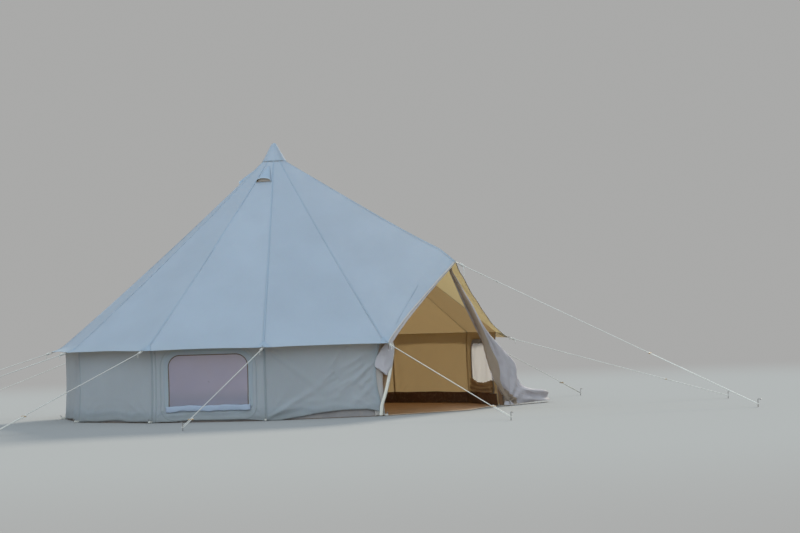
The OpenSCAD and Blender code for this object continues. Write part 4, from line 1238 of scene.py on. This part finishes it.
# Centre pole
# A galvanised steel pole in three lengths that plug together, with a swaged collar at each joint. It
# stands in a moulded rubber foot on the groundsheet.
POLE_R, COLLAR_H, COLLAR_SIDES = 0.019, 0.055, 48
POLE_JOINTS = (1.02, 1.99)
pole_steel = metal("pole_steel", (0.60, 0.61, 0.62), 0.40)
foot_rubber = textured("foot_rubber", (0.030, 0.030, 0.032), (0.085, 0.080, 0.075),
                       ("Noise", 0, {"Scale": 18.0, "Detail": 5.0}),
                       ("Noise", 0, {"Scale": 240.0, "Detail": 4.0}), 0.72, 0.3, 0.0005)
for name, material in (("centre_pole", pole_steel), ("pole_foot", foot_rubber)):
    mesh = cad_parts[name].data
    mesh.materials.clear()
    mesh.materials.append(material)
half = COLLAR_H / 2
profile = [(0.0002, -half), (0.0016, -half + 0.002), (0.0020, -half + 0.006), (0.0020, half - 0.006),
           (0.0016, half - 0.002), (0.0002, half)]
around = np.linspace(0, 2 * math.pi, COLLAR_SIDES + 1)[:-1]
n = len(profile)
faces = []
for k in range(COLLAR_SIDES):
    here, there = k * n, (k + 1) % COLLAR_SIDES * n
    faces += [(here + i, there + i, there + (i + 1) % n, here + (i + 1) % n) for i in range(n)]
collars = [([((POLE_R + r) * math.cos(t), (POLE_R + r) * math.sin(t), z + joint_z)
             for t in around for r, z in profile], faces) for joint_z in POLE_JOINTS]
joined("centre_pole_collars", collars, pole_steel, "steel")

# Guy ropes
# Eleven laid ropes run from the eave corners, and one from the ridge tip, to steel pegs. Each is tied to
# its ring, goes through a wooden slider and round its peg, and comes back to a stopper knot at the slider.
ROPE_D, ROPE_STEP, ROPE_LAY = 0.0095, 0.0046, 0.040
PEG_D, BESIDE = 0.009, 0.0088
SLIDER_L, SLIDER_D = 0.062, 0.014
rope_cord = textured("rope_cord", (0.62, 0.60, 0.54), (0.84, 0.83, 0.79),
                     ("Noise", 0, {"Scale": 9.0, "Detail": 5.0}),
                     ("Noise", 0, {"Scale": 900.0, "Detail": 3.0}), 0.85, 0.5, 0.0004, Sheen_Weight=0.2)
wood_grain = ("Noise", 0, {"Scale": 140.0, "Detail": 6.0, "Distortion": 1.5})
slider_wood = textured("slider_wood", (0.38, 0.24, 0.12), (0.62, 0.45, 0.27), wood_grain, wood_grain,
                       0.5, 0.25, 0.0005, span=(0.35, 0.7))


def laid_rope(path):
    """Points and faces of a three-strand rope along a path."""
    path = np.asarray(path, float)
    run = run_along(path)
    at = np.linspace(0, run[-1], max(int(run[-1] / ROPE_STEP), 2) + 1)
    path = np.stack([np.interp(at, run, path[:, i]) for i in range(3)], -1)
    along, side, other = carried(path)
    t = (at[:, None] * 2 * math.pi / ROPE_LAY + np.arange(9) * 2 * math.pi / 9)[..., None]
    bulge = np.tile((1.04, 0.86, 0.86), 3)[:, None] * ROPE_D / 2
    return skinned(path[:, None] + bulge * (side[:, None] * np.cos(t) + other[:, None] * np.sin(t)))


def coil(centre, axis, turns, radius, length):
    """A rope coiled round an axis, about its centre."""
    axis = axis / np.linalg.norm(axis)
    side = np.cross(axis, (0.2, 0.3, 0.9))
    side /= np.linalg.norm(side)
    other = np.cross(axis, side)
    t = np.linspace(0, 1, int(22 * turns))[:, None]
    a = t * turns * 2 * math.pi
    return laid_rope(centre + axis * ((t - 0.5) * length) + radius * (side * np.cos(a) + other * np.sin(a)))


def slider_bar(centre, side, pull):
    """A turned wooden slider with rounded ends, and a groove on each side of both rope holes."""
    other = np.cross(side, pull)
    ends = [(0.0, 0.0), (0.35, 0.30), (0.48, 0.62), (0.50, 0.86), (0.49, 1.0)]
    half = SLIDER_L / 2
    profile = [(-half + SLIDER_D * 0.5 * w, SLIDER_D * r) for r, w in ends]
    grooves = [(-0.0075, 0.49), (-0.0062, 0.43), (-0.005, 0.49),
               (0.005, 0.49), (0.0062, 0.43), (0.0075, 0.49)]
    for at in (-BESIDE, BESIDE):
        profile += [(at + off, SLIDER_D * r) for off, r in grooves]
    profile += [(half - SLIDER_D * 0.5 * w, SLIDER_D * r) for r, w in reversed(ends)]
    spokes = [pull * math.cos(t) + other * math.sin(t) for t in np.linspace(0, 2 * math.pi, 21)[:-1]]
    return skinned(np.array([[centre + side * a + max(r, 0.0004) * s for s in spokes] for a, r in profile]))


sliders = []
for name, guys in GUYS.items():
    strands = []
    for guy in guys + ([RIDGE_GUY] if name == "front" else []):
        start, foot, way, pull, side = guy_ends(guy)
        at_tip = guy == RIDGE_GUY
        start = start + pull * (2 * RING_R + (TIP_STRAP if at_tip else 0.0))
        knot = start + (foot - start) * guy[3]
        peg = foot - way * 0.01 + UP * 0.004
        half_turn = np.linspace(0, math.pi, 14)
        loop = [peg + BESIDE * (side * math.cos(t) + way * math.sin(t)) for t in half_turn]
        tail_end = knot - side * BESIDE - pull * 0.022
        strands += [laid_rope([start, knot + side * BESIDE, *loop, knot - side * BESIDE, tail_end]),
                    coil(tail_end, pull, 1.6, ROPE_D * 0.62, ROPE_D * 1.4),
                    coil(start + pull * 0.022, pull, 3.2, ROPE_D * 0.95, ROPE_D * 3.4),
                    coil(start - pull * 0.002, side, 1.0, ROPE_D * 0.8, 0.002)]
        tail = 0.115 if at_tip else 0.045
        hang = start + pull * 0.034 + side * 0.006
        strands.append(laid_rope([hang, hang + pull * 0.010 - UP * tail * 0.3,
                                  hang + pull * 0.008 - UP * tail]))
        sliders.append(slider_bar(knot, side, pull))
        if at_tip:
            strands += [coil(start + pull * at, pull, 1.4, ROPE_D * 0.7, ROPE_D * 1.2)
                        for at in (0.27, 0.48)]
            strands.append(coil(start + pull * 0.012, side, 1.05, 0.0135, 0.004))
            bight = hang - side * 0.012 + pull * 0.003
            strands.append(laid_rope([bight, bight - UP * tail * 0.5,
                                      bight + side * 0.004 - UP * tail * 0.96]))
    joined(f"guy_ropes_{name}", strands, rope_cord, "rope", f"guy_lines_{name}")
joined("rope_sliders", sliders, slider_wood, "rope")

# Pegs
# Bent steel rods driven into the ground, with their hooks turned away from the pull. The walls are pegged
# through webbing loops sewn to the foot of each corner.
WALL_PEG_H, PEG_HOOK, PEG_BEND = 0.045, 0.034, 0.010
LOOP_L, LOOP_HALF, LOOP_W, LOOP_Z = 0.045, 0.0105, 0.018, 0.013
peg_steel = metal("peg_steel", (0.50, 0.50, 0.50), 0.45, rust=0.5)


def bent_peg(at, way, height, hook):
    """A peg's rod: up out of the ground and over to its hook."""
    corner = at + UP * (height - PEG_D / 2 - PEG_BEND)
    path = [at + (corner - at) * q for q in np.linspace(0, 1, 5)]
    path += [corner + way * PEG_BEND * (1 - math.cos(t)) + UP * PEG_BEND * math.sin(t)
             for t in np.linspace(0.3, math.pi / 2, 6)]
    path += [corner + way * (PEG_BEND + (hook - PEG_BEND) * q) + UP * (PEG_BEND - 0.004 * q * q)
             for q in (0.4, 0.8, 1.0)]
    return tube(path, PEG_D, 14)


pegs = []
for guy in sum(GUYS.values(), []) + [RIDGE_GUY]:
    start, foot, way, pull, side = guy_ends(guy)
    pegs.append(bent_peg((foot - way * 0.01) * (1, 1, 0), way, PEG_H, PEG_HOOK))
joined("guy_pegs_steel", pegs, peg_steel, "steel", "guy_pegs")

pegs = []
for k in range(1, BAYS + 2):
    way, side = towards(k * BAY), across(k * BAY)
    at = way * (BASE_R + FIT + LOOP_L)
    pegs.append(bent_peg(at, way, WALL_PEG_H, PEG_HOOK / 2))
    path = [at - way * (LOOP_L + 0.012) + side * 0.007, at - way * 0.020 + side * LOOP_HALF]
    path += [at - way * 0.002 + side * LOOP_HALF * math.cos(t) + way * 0.0085 * math.sin(t)
             for t in np.linspace(0, math.pi, 13)]
    path += [at - way * 0.020 - side * LOOP_HALF, at - way * (LOOP_L + 0.012) - side * 0.007]
    strap(f"peg_loop_{k:02d}", np.array(path) + UP * LOOP_Z, LOOP_W, UP, 0.0018)
joined("wall_pegs_steel", pegs, peg_steel, "steel", "wall_pegs")
